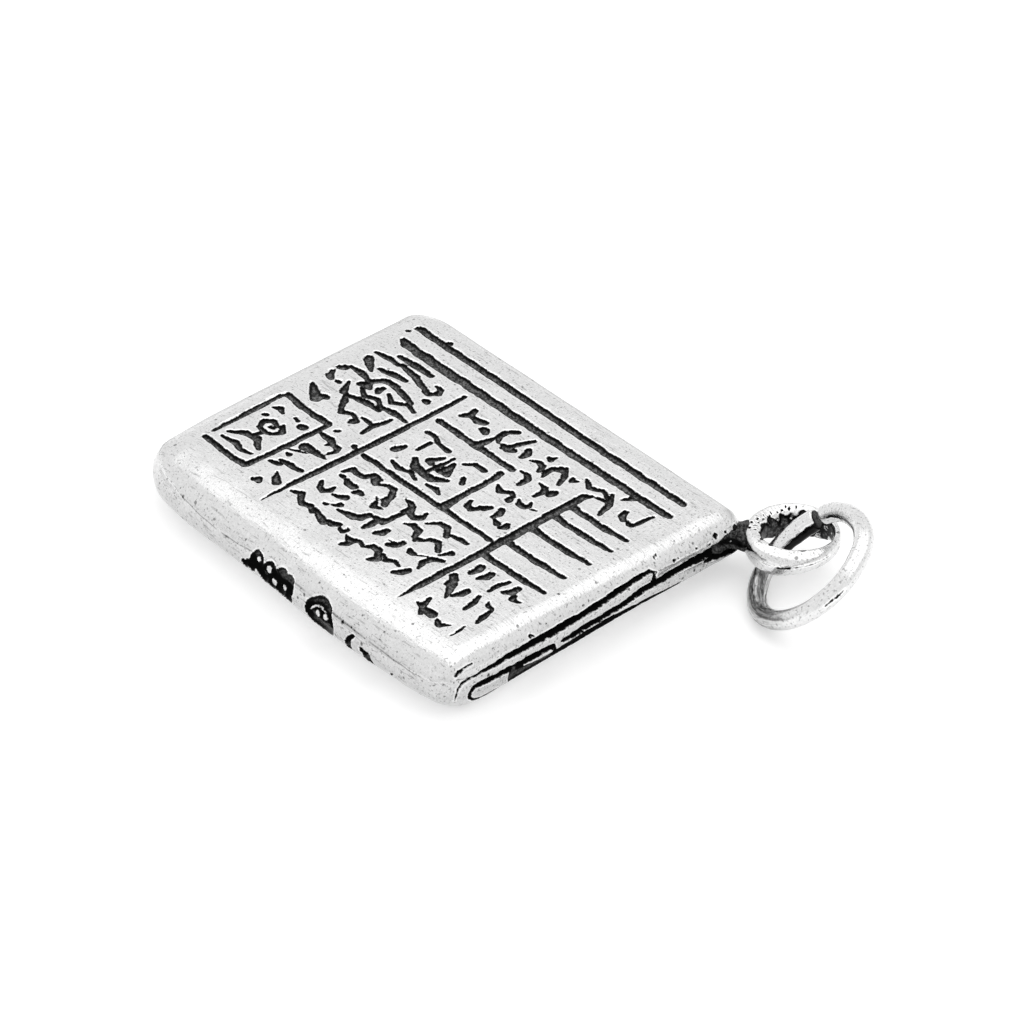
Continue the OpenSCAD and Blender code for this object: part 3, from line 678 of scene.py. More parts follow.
def engrave(points, normals):
    """Sinks the engraving into one half.

    Returns the points, the distance to black, how far each point faces sideways, and its
    height above the parting line.
    """
    points = shape_by_hand(points)
    x, y, z = points[..., 0], points[..., 1], points[..., 2]
    depth = PAPER_T - z
    wx = x + 0.018 * waves(x, y, 0.9, 1) + 0.007 * waves(x, y, 0.30, 2)
    wy = y + 0.018 * waves(x, y, 0.9, 3) + 0.007 * waves(x, y, 0.30, 4)
    page = only_where(z > PAGE_FROM, capsule_distance(wx, wy, page_strokes) - PAGE_MORE)
    leaf = only_where(x > END_FROM, leaf_end_distance(y, z))
    fold = only_where(y < FOLD_TO, fold_distance(x, z))
    head = only_where(y > HEAD_FROM, head_line_distance(x, z))
    ridge = only_where(x > END_FROM, capsule_distance(y, depth, strokes_of([CORNER_RIDGE])))
    solder = np.hypot(x - BAIL_MID[0], y - BAIL_MID[1]) - SOLDER_BLACK + 0.12 * waves(y, z, 0.6, 10)
    solder = np.maximum(solder, z - SOLDER_BLACK_TOP)
    sink = PAGE_DEPTH * smooth_step(-page / WALL)
    sink += FOLD_DEPTH * smooth_step(-fold / WALL)
    sink += HEAD_DEPTH * smooth_step(-head / WALL)
    sink -= RIDGE_OUT * smooth_step(1 - ridge / RIDGE_SPREAD)
    on_end = past(x, END_FROM, END_GROWS)
    sink_leaf = LEAF_DEPTH - LOW_GAP_RISE * past(depth, *LOW_GAP_FROM)
    sink_leaf = sink_leaf * on_end * smooth_step(-leaf / WALL)
    inner = past(depth, *INNER_DEPTH) * past(z, *INNER_HEIGHT) * past(y, *INNER_NEAR)
    sink_leaf += INNER_BACK * on_end * inner * before(y, *INNER_FAR)
    moved = points - sink[..., None] * normals
    moved[..., 0] -= sink_leaf
    uneven = 0.008 * waves(x, y, 4.5, 11) + 0.0025 * waves(x, y, 1.6, 12)
    keep_flat = past(z, *FLAT_UNDER)
    moved -= (FINISHED_OFF + uneven)[..., None].clip(0) * keep_flat[..., None] * normals
    moved[..., 2] = np.maximum(moved[..., 2], 0)
    ink = np.minimum.reduce([page, leaf, fold, head, solder])
    return moved, ink, 1.0 - np.abs(normals[..., 2]), parting_distance(x, z)


# %% Build the folded paper
def grid_cells(index, keep):
    """Quads between the points of an index grid, for the cells that keep marks."""
    corners = np.stack([index[:-1, :-1], index[1:, :-1], index[1:, 1:], index[:-1, 1:]], -1)
    return corners[keep]


def build_paper():
    """Both halves of the cushion, joined at its equator, with the flat underside as long strips."""
    top = engrave(*cushion(1))
    low = engrave(*cushion(-1))
    nx, ny = len(place_x), len(place_y)
    x_flat, y_flat = STEPS["spine"], STEPS["fold"]
    x_end, y_end = x_flat + FLAT_STEPS_X, y_flat + FLAT_STEPS_Y
    # The lower half shares the upper half's points along the equator, and has none inside its flat
    own = np.ones((nx, ny), bool)
    own[[0, -1], :] = False
    own[:, [0, -1]] = False
    own[x_flat + 1:x_end, y_flat + 1:y_end] = False
    index_top = np.arange(nx * ny).reshape(nx, ny)
    index_low = index_top.copy()
    index_low[own] = nx * ny + np.arange(own.sum())
    points = np.concatenate([top[0].reshape(-1, 3), low[0][own]])
    columns = [np.concatenate([a.ravel(), b[own]]) for a, b in zip(top[1:], low[1:])]
    everything = np.ones((nx - 1, ny - 1), bool)
    around = everything.copy()
    around[x_flat:x_end, y_flat:y_end] = False
    quads = np.concatenate([grid_cells(index_top, everything), grid_cells(index_low, around)[:, ::-1]])
    # The underside's middle: one long strip for each column, and the two end ones
    # are many-cornered, because they meet a fine edge
    under = index_low[x_flat:x_end + 1, y_flat:y_end + 1]
    near, far = under[1:-1, 0], under[1:-1, -1]
    strips = np.stack([near[:-1], far[:-1], far[1:], near[1:]], -1).tolist()
    first = under[0].tolist() + [int(far[0]), int(near[0])]
    last = [int(near[-1]), int(far[-1])] + under[-1, ::-1].tolist()
    values = dict(zip(("ink", "side", "seam"), columns))
    return {"points": points, "quads": quads, "others": strips + [first, last], "values": values}


paper = mesh_from_arrays("folded_paper", "cast_silver", **build_paper())
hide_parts("newspaper")

# %% [markdown]
# ## The bail: a band carried round a circle
# The bail is a flat strip bent into a ring and closed with solder. A torus is too
# round in section, so a superellipse, which lies between an ellipse and a box, is
# carried round the circle. Tool marks and pits are small moves of its surface.

# %% Carry a section round a circle
def ring_ways(angles, x_way, y_way):
    """Directions away from the ring's middle: cos t * x_way + sin t * y_way."""
    return np.cos(angles)[:, None] * x_way + np.sin(angles)[:, None] * y_way


def carry_round(middle, angles, x_way, y_way, radius, out, up):
    """Points middle + (radius + out) * direction(t) + up * axis, for sections out, up of shape (t, v)."""
    away = ring_ways(angles, x_way, y_way)
    axis = np.cross(x_way, y_way)
    return middle + (radius + out)[..., None] * away[:, None, :] + up[..., None] * axis


def wrap_quads(nu, nv, close_u):
    """Quads of a grid of nu by nv points that wraps round in v, and in u too where close_u is set."""
    index = np.arange(nu * nv).reshape(nu, nv)
    after_u = np.roll(index, -1, 0) if close_u else index[1:]
    here = index if close_u else index[:-1]
    return np.stack([here, after_u, np.roll(after_u, -1, 1), np.roll(here, -1, 1)], -1).reshape(-1, 4)


def end_fans(nu, nv):
    """Triangles that close the first and last of nu rows of nv points.

    Each end has a middle point, and both of these come after all the rows' points.
    """
    row = np.arange(nv)
    after = np.roll(row, -1)
    middle, end = np.full(nv, nu * nv), (nu - 1) * nv
    fans = [np.stack([middle, after, row], -1), np.stack([middle + 1, end + row, end + after], -1)]
    return np.concatenate(fans).tolist()


def squared_off(wave, power):
    """sign(wave) * |wave| ^ (2 / power), which turns an ellipse's wave into a superellipse's."""
    return np.sign(wave) * np.abs(wave) ** (2 / power)


def half_turns(angle):
    """The same angle, between minus and plus half a turn."""
    return (angle + np.pi) % (2 * np.pi) - np.pi


def section_grid(ways, nv):
    """The ways along a piece and the angles round its section, as two grids."""
    return np.meshgrid(ways, np.arange(nv) * 2 * np.pi / nv, indexing="ij")


def cast_values(ink, side):
    """The numbers that the cast silver reads, for a piece that has no parting line."""
    return {"ink": ink, "side": np.full(len(ink), side), "seam": np.full(len(ink), FAR)}


# %% Sizes of the bail
BAIL_R, BAIL_WALL, BAIL_H = 1.5, 0.46, 0.8
SOLDER_FROM = np.array([7.75, 6.0])
SOLDER_WAY = math.atan2(SOLDER_FROM[1] - BAIL_MID[1], SOLDER_FROM[0] - BAIL_MID[0])
# The hole sits off the middle, so the wall is thin on one side, and it is narrower along another way
THIN_WAY, HOLE_SHIFT = math.radians(54), 0.21
NARROW_WAY, NARROW_BY = math.radians(-40), 0.13
# The band is low on one side and tall on the far side, from this cosine of the way to it on, and
# its top leans towards the near corner
LOW_WAY, LOW_BY = math.radians(18), 0.28
TALL_WAY, TALL_BY, TALL_FROM = math.radians(120), 0.34, (0.1, 0.8)
LEAN_WAY, LEAN = math.radians(-45), 0.40
# The inside is black past this share of the half wall. The solder's black reaches this far round,
# less this many mm towards the top
INSIDE_FROM, SOLDER_SPREAD, SOLDER_LESS = 0.71, 0.34, 0.62
# The powers of the superellipse across the wall and up the band
ACROSS_POWER, UP_POWER = 3.2, 3.4
# Pits on the top, most of them near the solder, and how deep they are. Columns: way round in
# degrees, place across the band, radius
BAIL_PIT_DEPTH = 0.05
BAIL_PITS = np.array([
    (131, -0.03, 0.05), (142, -0.07, 0.06), (147, 0.02, 0.04), (153, -0.1, 0.05), (161, -0.12, 0.04),
    (171, -0.08, 0.05), (178, -0.16, 0.06), (185, -0.06, 0.03), (192, -0.16, 0.05), (198, 0.02, 0.06),
    (204, -0.1, 0.05), (209, 0.12, 0.06), (214, -0.04, 0.06), (221, 0.14, 0.07), (224, -0.1, 0.05),
    (-22, 0.02, 0.012), (-30, -0.03, 0.015), (-12, 0.0, 0.012),
])
# A thin line round the outside with one black dash: way round in radians, height, width
BAIL_LINES = [
    [(-1.42, 0.12, 0.01), (-1.0, 0.1, 0.02), (-0.5, 0.1, 0.02), (0.1, 0.1, 0.01)],
    [(-1.04, 0.09, 0.075), (-0.8, 0.09, 0.075)],
]
print("bail:", BAIL_R, "mm to the middle of its wall and", len(BAIL_PITS), "pits")


# %% Build the bail
def build_bail(nu=360, nv=88):
    """A superellipse section, |out / a|^3.2 + |up / b|^3.4 = 1, carried round an upright axis.

    The outer radius stays the same, and the wall is thinner by
    shift * cos(t - thin way) - narrow * cos(t - narrow way)^2. Each point sinks by
    out * lean * cos(t - lean way), which slopes the band's top towards one side.
    """
    t = np.arange(nu) * 2 * np.pi / nu
    tt, vv = section_grid(t, nv)
    # The hole comes out of the wall's inner side alone
    thinner = HOLE_SHIFT * np.cos(tt - THIN_WAY) - NARROW_BY * np.cos(tt - NARROW_WAY) ** 2
    half_wall = (BAIL_WALL - thinner) / 2
    half_high = BAIL_H / 2 - LOW_BY / 2 * smooth_step(np.cos(tt - LOW_WAY))
    half_high += TALL_BY / 2 * past(np.cos(tt - TALL_WAY), *TALL_FROM)
    across = squared_off(np.cos(vv), ACROSS_POWER)
    up = half_high * squared_off(np.sin(vv), UP_POWER)
    along = tt * BAIL_R
    rough = 0.03 * waves(along, up, 1.4, 31) + 0.015 * waves(along, up, 0.4, 32)
    out = half_wall * across * (0.98 + rough)
    way = half_turns(tt)
    pits = np.minimum.reduce([
        np.hypot(half_turns(way - math.radians(p[0])) * BAIL_R, out - p[1]) - p[2] for p in BAIL_PITS
    ])
    pits = only_where(up > 0, pits + 0.03 * waves(along, out, 0.12, 33))
    lean = out * LEAN * np.cos(tt - LEAN_WAY)
    height = up + BAIL_H / 2 - half_high - lean - BAIL_PIT_DEPTH * smooth_step(-pits / 0.04)
    x_way, y_way, _ = np.eye(3)
    points = carry_round(BAIL_MID, t, x_way, y_way, BAIL_R + thinner / 2, out, height)
    # The black's edge wavers, but no more than the thin wall allows
    waver = np.minimum(0.06 * waves(along, up, 0.5, 34), 0.2 * half_wall)
    inside = out + INSIDE_FROM * half_wall + waver
    by_solder = (np.abs(half_turns(tt - SOLDER_WAY)) - SOLDER_SPREAD) * BAIL_R
    by_solder += SOLDER_LESS * smooth_step(up / 0.30)
    by_solder += 0.12 * waves(along, up, 0.5, 35)
    line = only_where(across > 0.4, capsule_distance(way, up, strokes_of(BAIL_LINES)))
    values = cast_values(np.minimum.reduce([inside, by_solder, line, pits]).ravel(), 0.35)
    points = points.reshape(-1, 3)
    return {"points": points, "quads": wrap_quads(nu, nv, True), "others": [], "values": values}


bail = mesh_from_arrays("bail_ring", "cast_silver", **build_bail())
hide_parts("newspaper")

# %% [markdown]
# ## Solder in the corner
# Real solder is wide where it wets the metal and narrow between. A few metaballs
# would do, but one tube that swells at both ends is easier to keep in place, and
# noise makes it lumpy.

# %% Build the solder
SOLDER_Z = 1.42
# Half width and half height where the tube is narrowest, and how much they gain beyond
SOLDER_WIDE, SOLDER_HIGH = (0.60, 0.34), (0.48, 0.18)
# The narrowest place, as a share of the length, and how far the swell takes from there
NECK_AT, NECK_SPREAD = 0.72, 0.28


def build_solder(nu=70, nv=64):
    """A tube from inside the corner to the middle of the bail's wall.

    Half width = 0.60 + 0.34 * e and half height = 0.48 + 0.18 * e, where e is the square of
    the way from the neck, 0 there and 1 at most, and both ends are rounded off.
    """
    way = BAIL_MID[:2] - SOLDER_FROM
    length = np.linalg.norm(way) - BAIL_R + 0.05
    way = way / np.linalg.norm(way)
    across = np.array([-way[1], way[0]])
    ss, vv = section_grid((1 - np.cos(np.linspace(0, np.pi, nu))) / 2, nv)
    e = np.clip((ss - NECK_AT) / NECK_SPREAD, -1, 1) ** 2
    close = np.sqrt(np.clip(1 - np.clip(np.abs(ss - 0.5) / 0.5, 0, 1) ** 8, 0, 1))
    lump = 1 + 0.07 * waves(ss * length * 1.3, vv, 1.2, 41) + 0.03 * waves(ss * length, vv, 0.5, 42)
    wide = (SOLDER_WIDE[0] + SOLDER_WIDE[1] * e) * close * lump
    high = (SOLDER_HIGH[0] + SOLDER_HIGH[1] * e) * close * lump
    along = ss * length
    points = np.stack([
        SOLDER_FROM[0] + way[0] * along + across[0] * wide * np.cos(vv),
        SOLDER_FROM[1] + way[1] * along + across[1] * wide * np.cos(vv),
        SOLDER_Z + high * np.sin(vv),
    ], -1)
    points = np.concatenate([points[1:-1].reshape(-1, 3), points[[0, -1]].mean(1)])
    # This section turns the other way round than the ring's, so its faces are turned back
    quads = wrap_quads(nu - 2, nv, False)[:, ::-1]
    fans = [face[::-1] for face in end_fans(nu - 2, nv)]
    values = cast_values(-0.12 + 0.10 * waves(points[:, 0], points[:, 2] * 1.5, 0.9, 43), 0.5)
    return {"points": points, "quads": quads, "others": fans, "values": values}


solder = mesh_from_arrays("bail_solder", "cast_silver", **build_solder())
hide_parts("newspaper")

# %% [markdown]
# ## The open jump ring
# A jump ring is wire wound on a rod and sawn off, so it has a cut with two flat
# ends. A curve with a bevel could make it, but the bail's function already carries
# a section round a ring, and can stop at the cut. Coordinates along the wire and
# round it let the drawing lines follow it.

# %% Sizes of the jump ring
JUMP_MID = np.array([12.11, 7.016, 1.864])
JUMP_R, WIRE_R, WIRE_EDGE = 2.37, 0.36, 0.10
JUMP_TILT, JUMP_HEADING = math.radians(39.4), math.radians(-128.2)
CUT_AT, CUT_WIDTH = math.radians(253), 0.29
# The ring's own axes: down its slope, and level across it
DOWN = np.array([
    math.cos(JUMP_HEADING) * math.cos(JUMP_TILT),
    math.sin(JUMP_HEADING) * math.cos(JUMP_TILT),
    -math.sin(JUMP_TILT),
])
ASIDE = np.array([-math.sin(JUMP_HEADING), math.cos(JUMP_HEADING), 0.0])
# The side that is worn flat faces this way, by this share of the radius, between two ways round
WORN_WAY, WORN = np.array([0.28, -0.19, 0.94]), 0.13
WORN_FROM, WORN_TO = (3.0, 0.8), (5.6, 0.5)
# Beside the cut, to this far along, the wire is thicker by this share, on the side at this way round it
THICK_BY, THICK_WAY, THICK_SPREAD, THICK_TO = 0.26, 3.75, 0.8, (2.2, 1.4)
# The ring is bent in by this much near this way round
BENT_BY, BENT_WAY, BENT_SPREAD = 0.10, 5.4, 0.4
# The wire carries a painted dark reflection between these two ways round
DARK_REFLECTION_FROM, DARK_REFLECTION_TO = (1.15, 0.25), (3.1, 0.7)
# Black painted on the wire as dark reflection and shade: mm along the ring from the cut, mm round the wire
# from its outer side, width
WIRE_PAINTED_DARK = [
    [(0.02, 1.36, 0.66), (0.9, 1.36, 0.62), (1.9, 1.28, 0.42)],
    [(3.4, 1.4, 0.03), (4.6, 1.12, 0.05), (5.8, 0.86, 0.05), (6.6, 0.68, 0.02)],
    [(13.2, 1.02, 0.05), (13.8, 0.96, 0.12), (14.35, 0.98, 0.06)],
    [(13.0, 1.22, 0.05), (13.5, 1.2, 0.08)],
]
# Three black dashes and a line of painted dark reflection, with the same columns, whose way round the wire
# may be below zero
WIRE_PAINTED_DASHES = [
    [(8.5, 0.04, 0.03), (8.74, 0.02, 0.06)],
    [(8.84, 0.01, 0.06), (9.06, 0.0, 0.07)],
    [(9.14, 0.0, 0.05), (9.28, -0.02, 0.03)],
    [(3.3, 0.34, 0.14), (4.3, 0.26, 0.06), (5.2, 0.14, 0.05), (6.1, 0.02, 0.03)],
]
# The ends are black with painted shade up to this far past their faces, and a steeper distance makes the
# edge sharp
END_PAINTED_SHADE, END_STEEP = 0.008, 20
print("jump ring:", 2 * WIRE_R, "mm wire, its middle on a circle of", 2 * JUMP_R, "mm")


# %% Rows and coordinates of the wire
def wire_rows(half_cut, nu):
    """Ways round the ring and radii of the wire's rows, with a rounded flat face at each end.

    At an end the wire's radius is r = R - e + sqrt(e^2 - (e - s)^2), where s is the way from
    the end and e the rounding, and the flat face inside that closes to a middle point.
    """
    face = (WIRE_R - WIRE_EDGE) * np.linspace(0.2, 1, 5)
    s = WIRE_EDGE * (1 - np.cos(np.linspace(0, np.pi / 2, 7)))[1:]
    t_end = np.concatenate([np.full(len(face), half_cut), half_cut + s / JUMP_R])
    r_end = np.concatenate([face, WIRE_R - WIRE_EDGE + np.sqrt(WIRE_EDGE ** 2 - (WIRE_EDGE - s) ** 2)])
    t_body = np.linspace(t_end[-1], 2 * np.pi - t_end[-1], nu)[1:-1]
    t = np.concatenate([t_end, t_body, 2 * np.pi - t_end[::-1]])
    return t, np.concatenate([r_end, np.full(len(t_body), WIRE_R), r_end[::-1]])


def wire_uv(t, half_cut, nv):
    """Corner coordinates of the quads and the end fans: u runs along the wire, v counts turns round it."""
    rows, columns = np.meshgrid(np.arange(len(t) - 1), np.arange(nv), indexing="ij")
    corners = np.array([(0, 0), (1, 0), (1, 1), (0, 1)])
    uv = (np.stack([rows, columns], -1)[:, :, None] + corners).reshape(-1, 2) / (len(t) - 1, nv)
    length = (2 * np.pi - 2 * half_cut) * JUMP_R
    uv[:, 0] = np.interp(uv[:, 0], np.linspace(0, 1, len(t)), (t - half_cut) * JUMP_R / length)
    end_uv = np.zeros((3 * 2 * nv, 2))
    end_uv[3 * nv:, 0] = 1.0
    return np.concatenate([uv, end_uv])


# %% Build the jump ring
def build_jump_ring(nu=440, nv=72):
    """A circle of wire carried from one side of the cut to the other.

    Its radius is the row's, times the dents and the thicker place, and its upper side is
    worn flat: there the radius is at most flat / cos(v - w), with w the way to the top.
    """
    half_cut = CUT_WIDTH / 2 / JUMP_R
    t, radius = wire_rows(half_cut, nu)
    tt, vv = section_grid(t, nv)
    along, around = tt * JUMP_R, vv * WIRE_R
    # Flats and dents of the pliers, and a thicker place beside the cut
    dents = 1 - 0.03 * smooth_step(waves(along, 2 * np.cos(vv), 1.3, 51) - 0.3)
    dents += 0.008 * waves(along, around, 0.5, 52)
    thick = 1 + THICK_BY * before(along, *THICK_TO) * np.exp(-((vv - THICK_WAY) / THICK_SPREAD) ** 2)
    to_top = np.arctan2(WORN_WAY @ np.cross(DOWN, ASIDE), ring_ways(t + CUT_AT, DOWN, ASIDE) @ WORN_WAY)
    flat = 1 - WORN * past(tt, *WORN_FROM) * before(tt, *WORN_TO)
    worn = np.minimum(dents, flat / np.maximum(np.cos(vv - to_top[:, None]), 0.5))
    rr = radius[:, None] * worn * thick
    bent = JUMP_R - BENT_BY * np.exp(-((tt - BENT_WAY) / BENT_SPREAD) ** 2)
    points = carry_round(JUMP_MID, t + CUT_AT, DOWN, ASIDE, bent, rr * np.cos(vv), rr * np.sin(vv))
    points = np.concatenate([points.reshape(-1, 3), points[[0, -1]].mean(1)])
    wx = along + 0.03 * waves(along, around, 0.6, 53)
    wy = around + 0.012 * waves(along, around, 0.5, 54)
    half_round = np.where(vv > np.pi, wy - 2 * np.pi * WIRE_R, wy)
    from_end = np.minimum(along, 2 * np.pi * JUMP_R - along) - half_cut * JUMP_R
    # The black on the wire is painted: shade on the cut ends, and dark reflection and shade along the wire
    ink = np.minimum.reduce([
        END_STEEP * (from_end - END_PAINTED_SHADE),
        capsule_distance(wx, wy, strokes_of(WIRE_PAINTED_DARK)),
        capsule_distance(wx, half_round, strokes_of(WIRE_PAINTED_DASHES)),
    ])
    dark_reflection = past(tt, *DARK_REFLECTION_FROM) * before(tt, *DARK_REFLECTION_TO)
    # The two middle points of the ends are black with painted shade and carry no painted dark reflection
    values = {"ink": np.append(ink.ravel(), [-0.1, -0.1]), "dark_reflection": np.append(dark_reflection.ravel(), [0.0, 0.0])}
    return {
        "points": points, "quads": wrap_quads(len(t), nv, False), "others": end_fans(len(t), nv),
        "values": values, "corner_uv": wire_uv(t, half_cut, nv),
    }


jump = mesh_from_arrays("jump_ring_wire", "silver_wire", **build_jump_ring())
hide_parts("jump_ring")

# %% [markdown]
# ## A check that every face points outwards
# Reversed faces shade black in some programs. A closed mesh has a positive signed
# volume only when its faces point outwards, and an edge with one face is a hole.

# %% Measure the meshes
def signed_volume(piece):
    """Sum over the triangles of a . (b x c) / 6, in cubic millimetres."""
    mesh = piece.data
    mesh.calc_loop_triangles()
    corner = np.empty(len(mesh.loop_triangles) * 3, np.int32)
    mesh.loop_triangles.foreach_get("vertices", corner)
    place = np.empty(len(mesh.vertices) * 3, np.float32)
    mesh.vertices.foreach_get("co", place)
    a, b, c = place.reshape(-1, 3)[corner].reshape(-1, 3, 3).transpose(1, 0, 2) / MM
    return float(np.einsum("ij,ij->i", a, np.cross(b, c)).sum() / 6), len(mesh.loop_triangles)


def open_edges(piece):
    """How many edges don't have exactly two faces."""
    uses = np.zeros(len(piece.data.edges), np.int32)
    loops = np.empty(len(piece.data.loops), np.int32)
    piece.data.loops.foreach_get("edge_index", loops)
    np.add.at(uses, loops, 1)
    return int((uses != 2).sum())


for piece in (paper, bail, solder, jump):
    volume, triangles = signed_volume(piece)
    print(f"{piece.name}: {volume:.2f} mm3, {triangles} triangles, {open_edges(piece)} open edges")

# %% [markdown]
# ## Nodes in few words
# Node trees take many lines when each socket is set by hand, so this small class
# has a word for each thing that both finishes do: calculate, fade between two
# values, take noise of a size in millimetres, and add up a tone from its parts.

# %% A class for finishes
class Finish:
    """A material of nodes on the piece's own coordinates. Inputs are values or other nodes' outputs."""

    def __init__(self, name):
        """An empty material with the object's coordinates and UV at hand."""
        self.material = bpy.data.materials.new(name)
        self.material.use_nodes = True
        self.tree = self.material.node_tree
        self.tree.nodes.clear()
        coords = self.add("ShaderNodeTexCoord")
        self.where, self.uv = coords.outputs["Object"], coords.outputs["UV"]

    def add(self, kind, inputs=None, **settings):
        """Adds a node, with settings as its properties."""
        made = self.tree.nodes.new(kind)
        for key, value in settings.items():
            setattr(made, key, value)
        for key, value in (inputs or {}).items():
            if isinstance(value, bpy.types.NodeSocket):
                self.tree.links.new(value, made.inputs[key])
            else:
                made.inputs[key].default_value = value
        return made

    def calc(self, operation, *values, clamp=False):
        """One Math node, given back as its output."""
        inputs = dict(enumerate(values))
        return self.add("ShaderNodeMath", inputs, operation=operation, use_clamp=clamp).outputs[0]

    def product(self, first, *others):
        """All the values multiplied together."""
        for value in others:
            first = self.calc("MULTIPLY", first, value)
        return first

    def total(self, start, *parts, clamp=False):
        """start plus each part, a value and its share. clamp holds the last sum between 0 and 1."""
        for number, (value, share) in enumerate(parts, 1):
            start = self.calc("MULTIPLY_ADD", value, share, start, clamp=clamp and number == len(parts))
        return start

    def fade(self, value, low, high, to_low=0.0, to_high=1.0):
        """Maps value from low..high to to_low..to_high, smoothly and held at both ends."""
        inputs = {0: value, 1: low, 2: high, 3: to_low, 4: to_high}
        return self.add("ShaderNodeMapRange", inputs, interpolation_type="SMOOTHSTEP").outputs[0]

    def noise(self, size_mm, detail, rough=0.55, where=None):
        """Noise whose lumps are about size_mm across, on coordinates in metres."""
        inputs = {"Vector": where or self.where, "Scale": 1 / (size_mm * MM)}
        return self.add("ShaderNodeTexNoise", {**inputs, "Detail": detail, "Roughness": rough}).outputs[0]

    def attribute(self, name):
        """A number that the mesh holds for each point."""
        return self.add("ShaderNodeAttribute", attribute_name=name, attribute_type="GEOMETRY").outputs["Fac"]

    def grey(self, tone):
        """A grey colour from one number."""
        return self.add("ShaderNodeCombineColor", {0: tone, 1: tone, 2: tone}).outputs[0]

    def black_and_rim(self, ink, ragged, sway, start, end, rim_end):
        """Black inside the distance ink, from start to end, and a rubbed rim just outside it."""
        edge = self.total(ink, (self.calc("SUBTRACT", ragged, 0.5), sway))
        rim = self.product(self.fade(edge, 0.01, 0.02), self.fade(edge, 0.04, rim_end, 1.0, 0.0))
        return self.fade(edge, start, end, 1.0, 0.0), rim

    def polish(self, colour, metallic, rough, height, height_mm, specular):
        """Ends the material with a metal whose height makes bumps of height_mm."""
        bump = self.add("ShaderNodeBump", {"Strength": 0.6, "Distance": height_mm * MM, "Height": height})
        shader = self.add("ShaderNodeBsdfPrincipled", {
            "Base Color": colour, "Metallic": metallic, "Roughness": rough,
            "Normal": bump.outputs[0], "Specular IOR Level": specular,
        })
        self.add("ShaderNodeOutputMaterial", {"Surface": shader.outputs[0]})
        return self.material


# %% [markdown]
# ## Blackened silver
# Cast silver is tumbled bright, then blackened, and the black is rubbed off the
# raised faces. A mask could be painted, but the engraving's own distance already
# says where the black sits. Noise makes its edge ragged, and just outside it the
# metal is rubbed brightest. Black in narrow cuts is matt, and the floor of a wide
# cut is dark grey. Pits, scratches, specks, a parting line on the fold, a painted
# shade on faces that turn sideways and a painted grey shade along the two far
# edges are parts of the tone.

# %% Marks of the casting
# From the page's middle: the parting line shows before this x and this y, and the painted
# shade along the far edges grows between two places on x and on y
LINE_TO = (8.0, -5.9)
FAR_SHADE_X, FAR_SHADE_Y = np.array([-7.6, -8.6]), np.array([6.3, 6.7])


def parting_line(s, x, y, seam):
    """The parting line, broken by noise, and only on the fold."""
    before_end = s.calc("LESS_THAN", x, (PAGE_MID[0] + LINE_TO[0]) * MM)
    at_fold = s.calc("LESS_THAN", y, (PAGE_MID[1] + LINE_TO[1]) * MM)
    broken = s.fade(s.noise(0.5, 2.0), 0.30, 0.48)
    line = s.fade(s.calc("ABSOLUTE", seam), 0.008, 0.034, 1.0, 0.0)
    return s.product(line, broken, at_fold, before_end)


def casting_pits(s, side, ragged):
    """Small dots in some cells of a Voronoi pattern, ragged by the noise, and more on the sides."""
    cells = s.add("ShaderNodeTexVoronoi", {"Vector": s.where, "Scale": 1 / (0.30 * MM)}, feature="F1")
    chance, size, _ = s.add("ShaderNodeSeparateColor", {0: cells.outputs["Color"]}).outputs
    size = s.total(0.0, (ragged, -0.30), (size, 0.14))
    dot = s.fade(s.calc("SUBTRACT", cells.outputs["Distance"], size), 0.20, 0.29, 1.0, 0.0)
    return s.product(dot, s.calc("GREATER_THAN", chance, s.fade(side, 0.02, 0.5, 0.90, 0.55)))


def far_edge_shade(s, x, y, side, seam):
    """A painted grey shade along the two far edges, on their rounded rims."""
    at_spine = s.fade(x, *((PAGE_MID[0] + FAR_SHADE_X) * MM))
    at_head = s.fade(y, *((PAGE_MID[1] + FAR_SHADE_Y) * MM))
    # Only the paper has a seam nearer than far
    on_paper = s.calc("LESS_THAN", seam, FAR / 2)
    near_edge = s.calc("MAXIMUM", at_spine, at_head)
    return s.product(near_edge, s.fade(side, 0.02, 0.20), on_paper, s.fade(side, 0.26, 0.48, 1.0, 0.0))


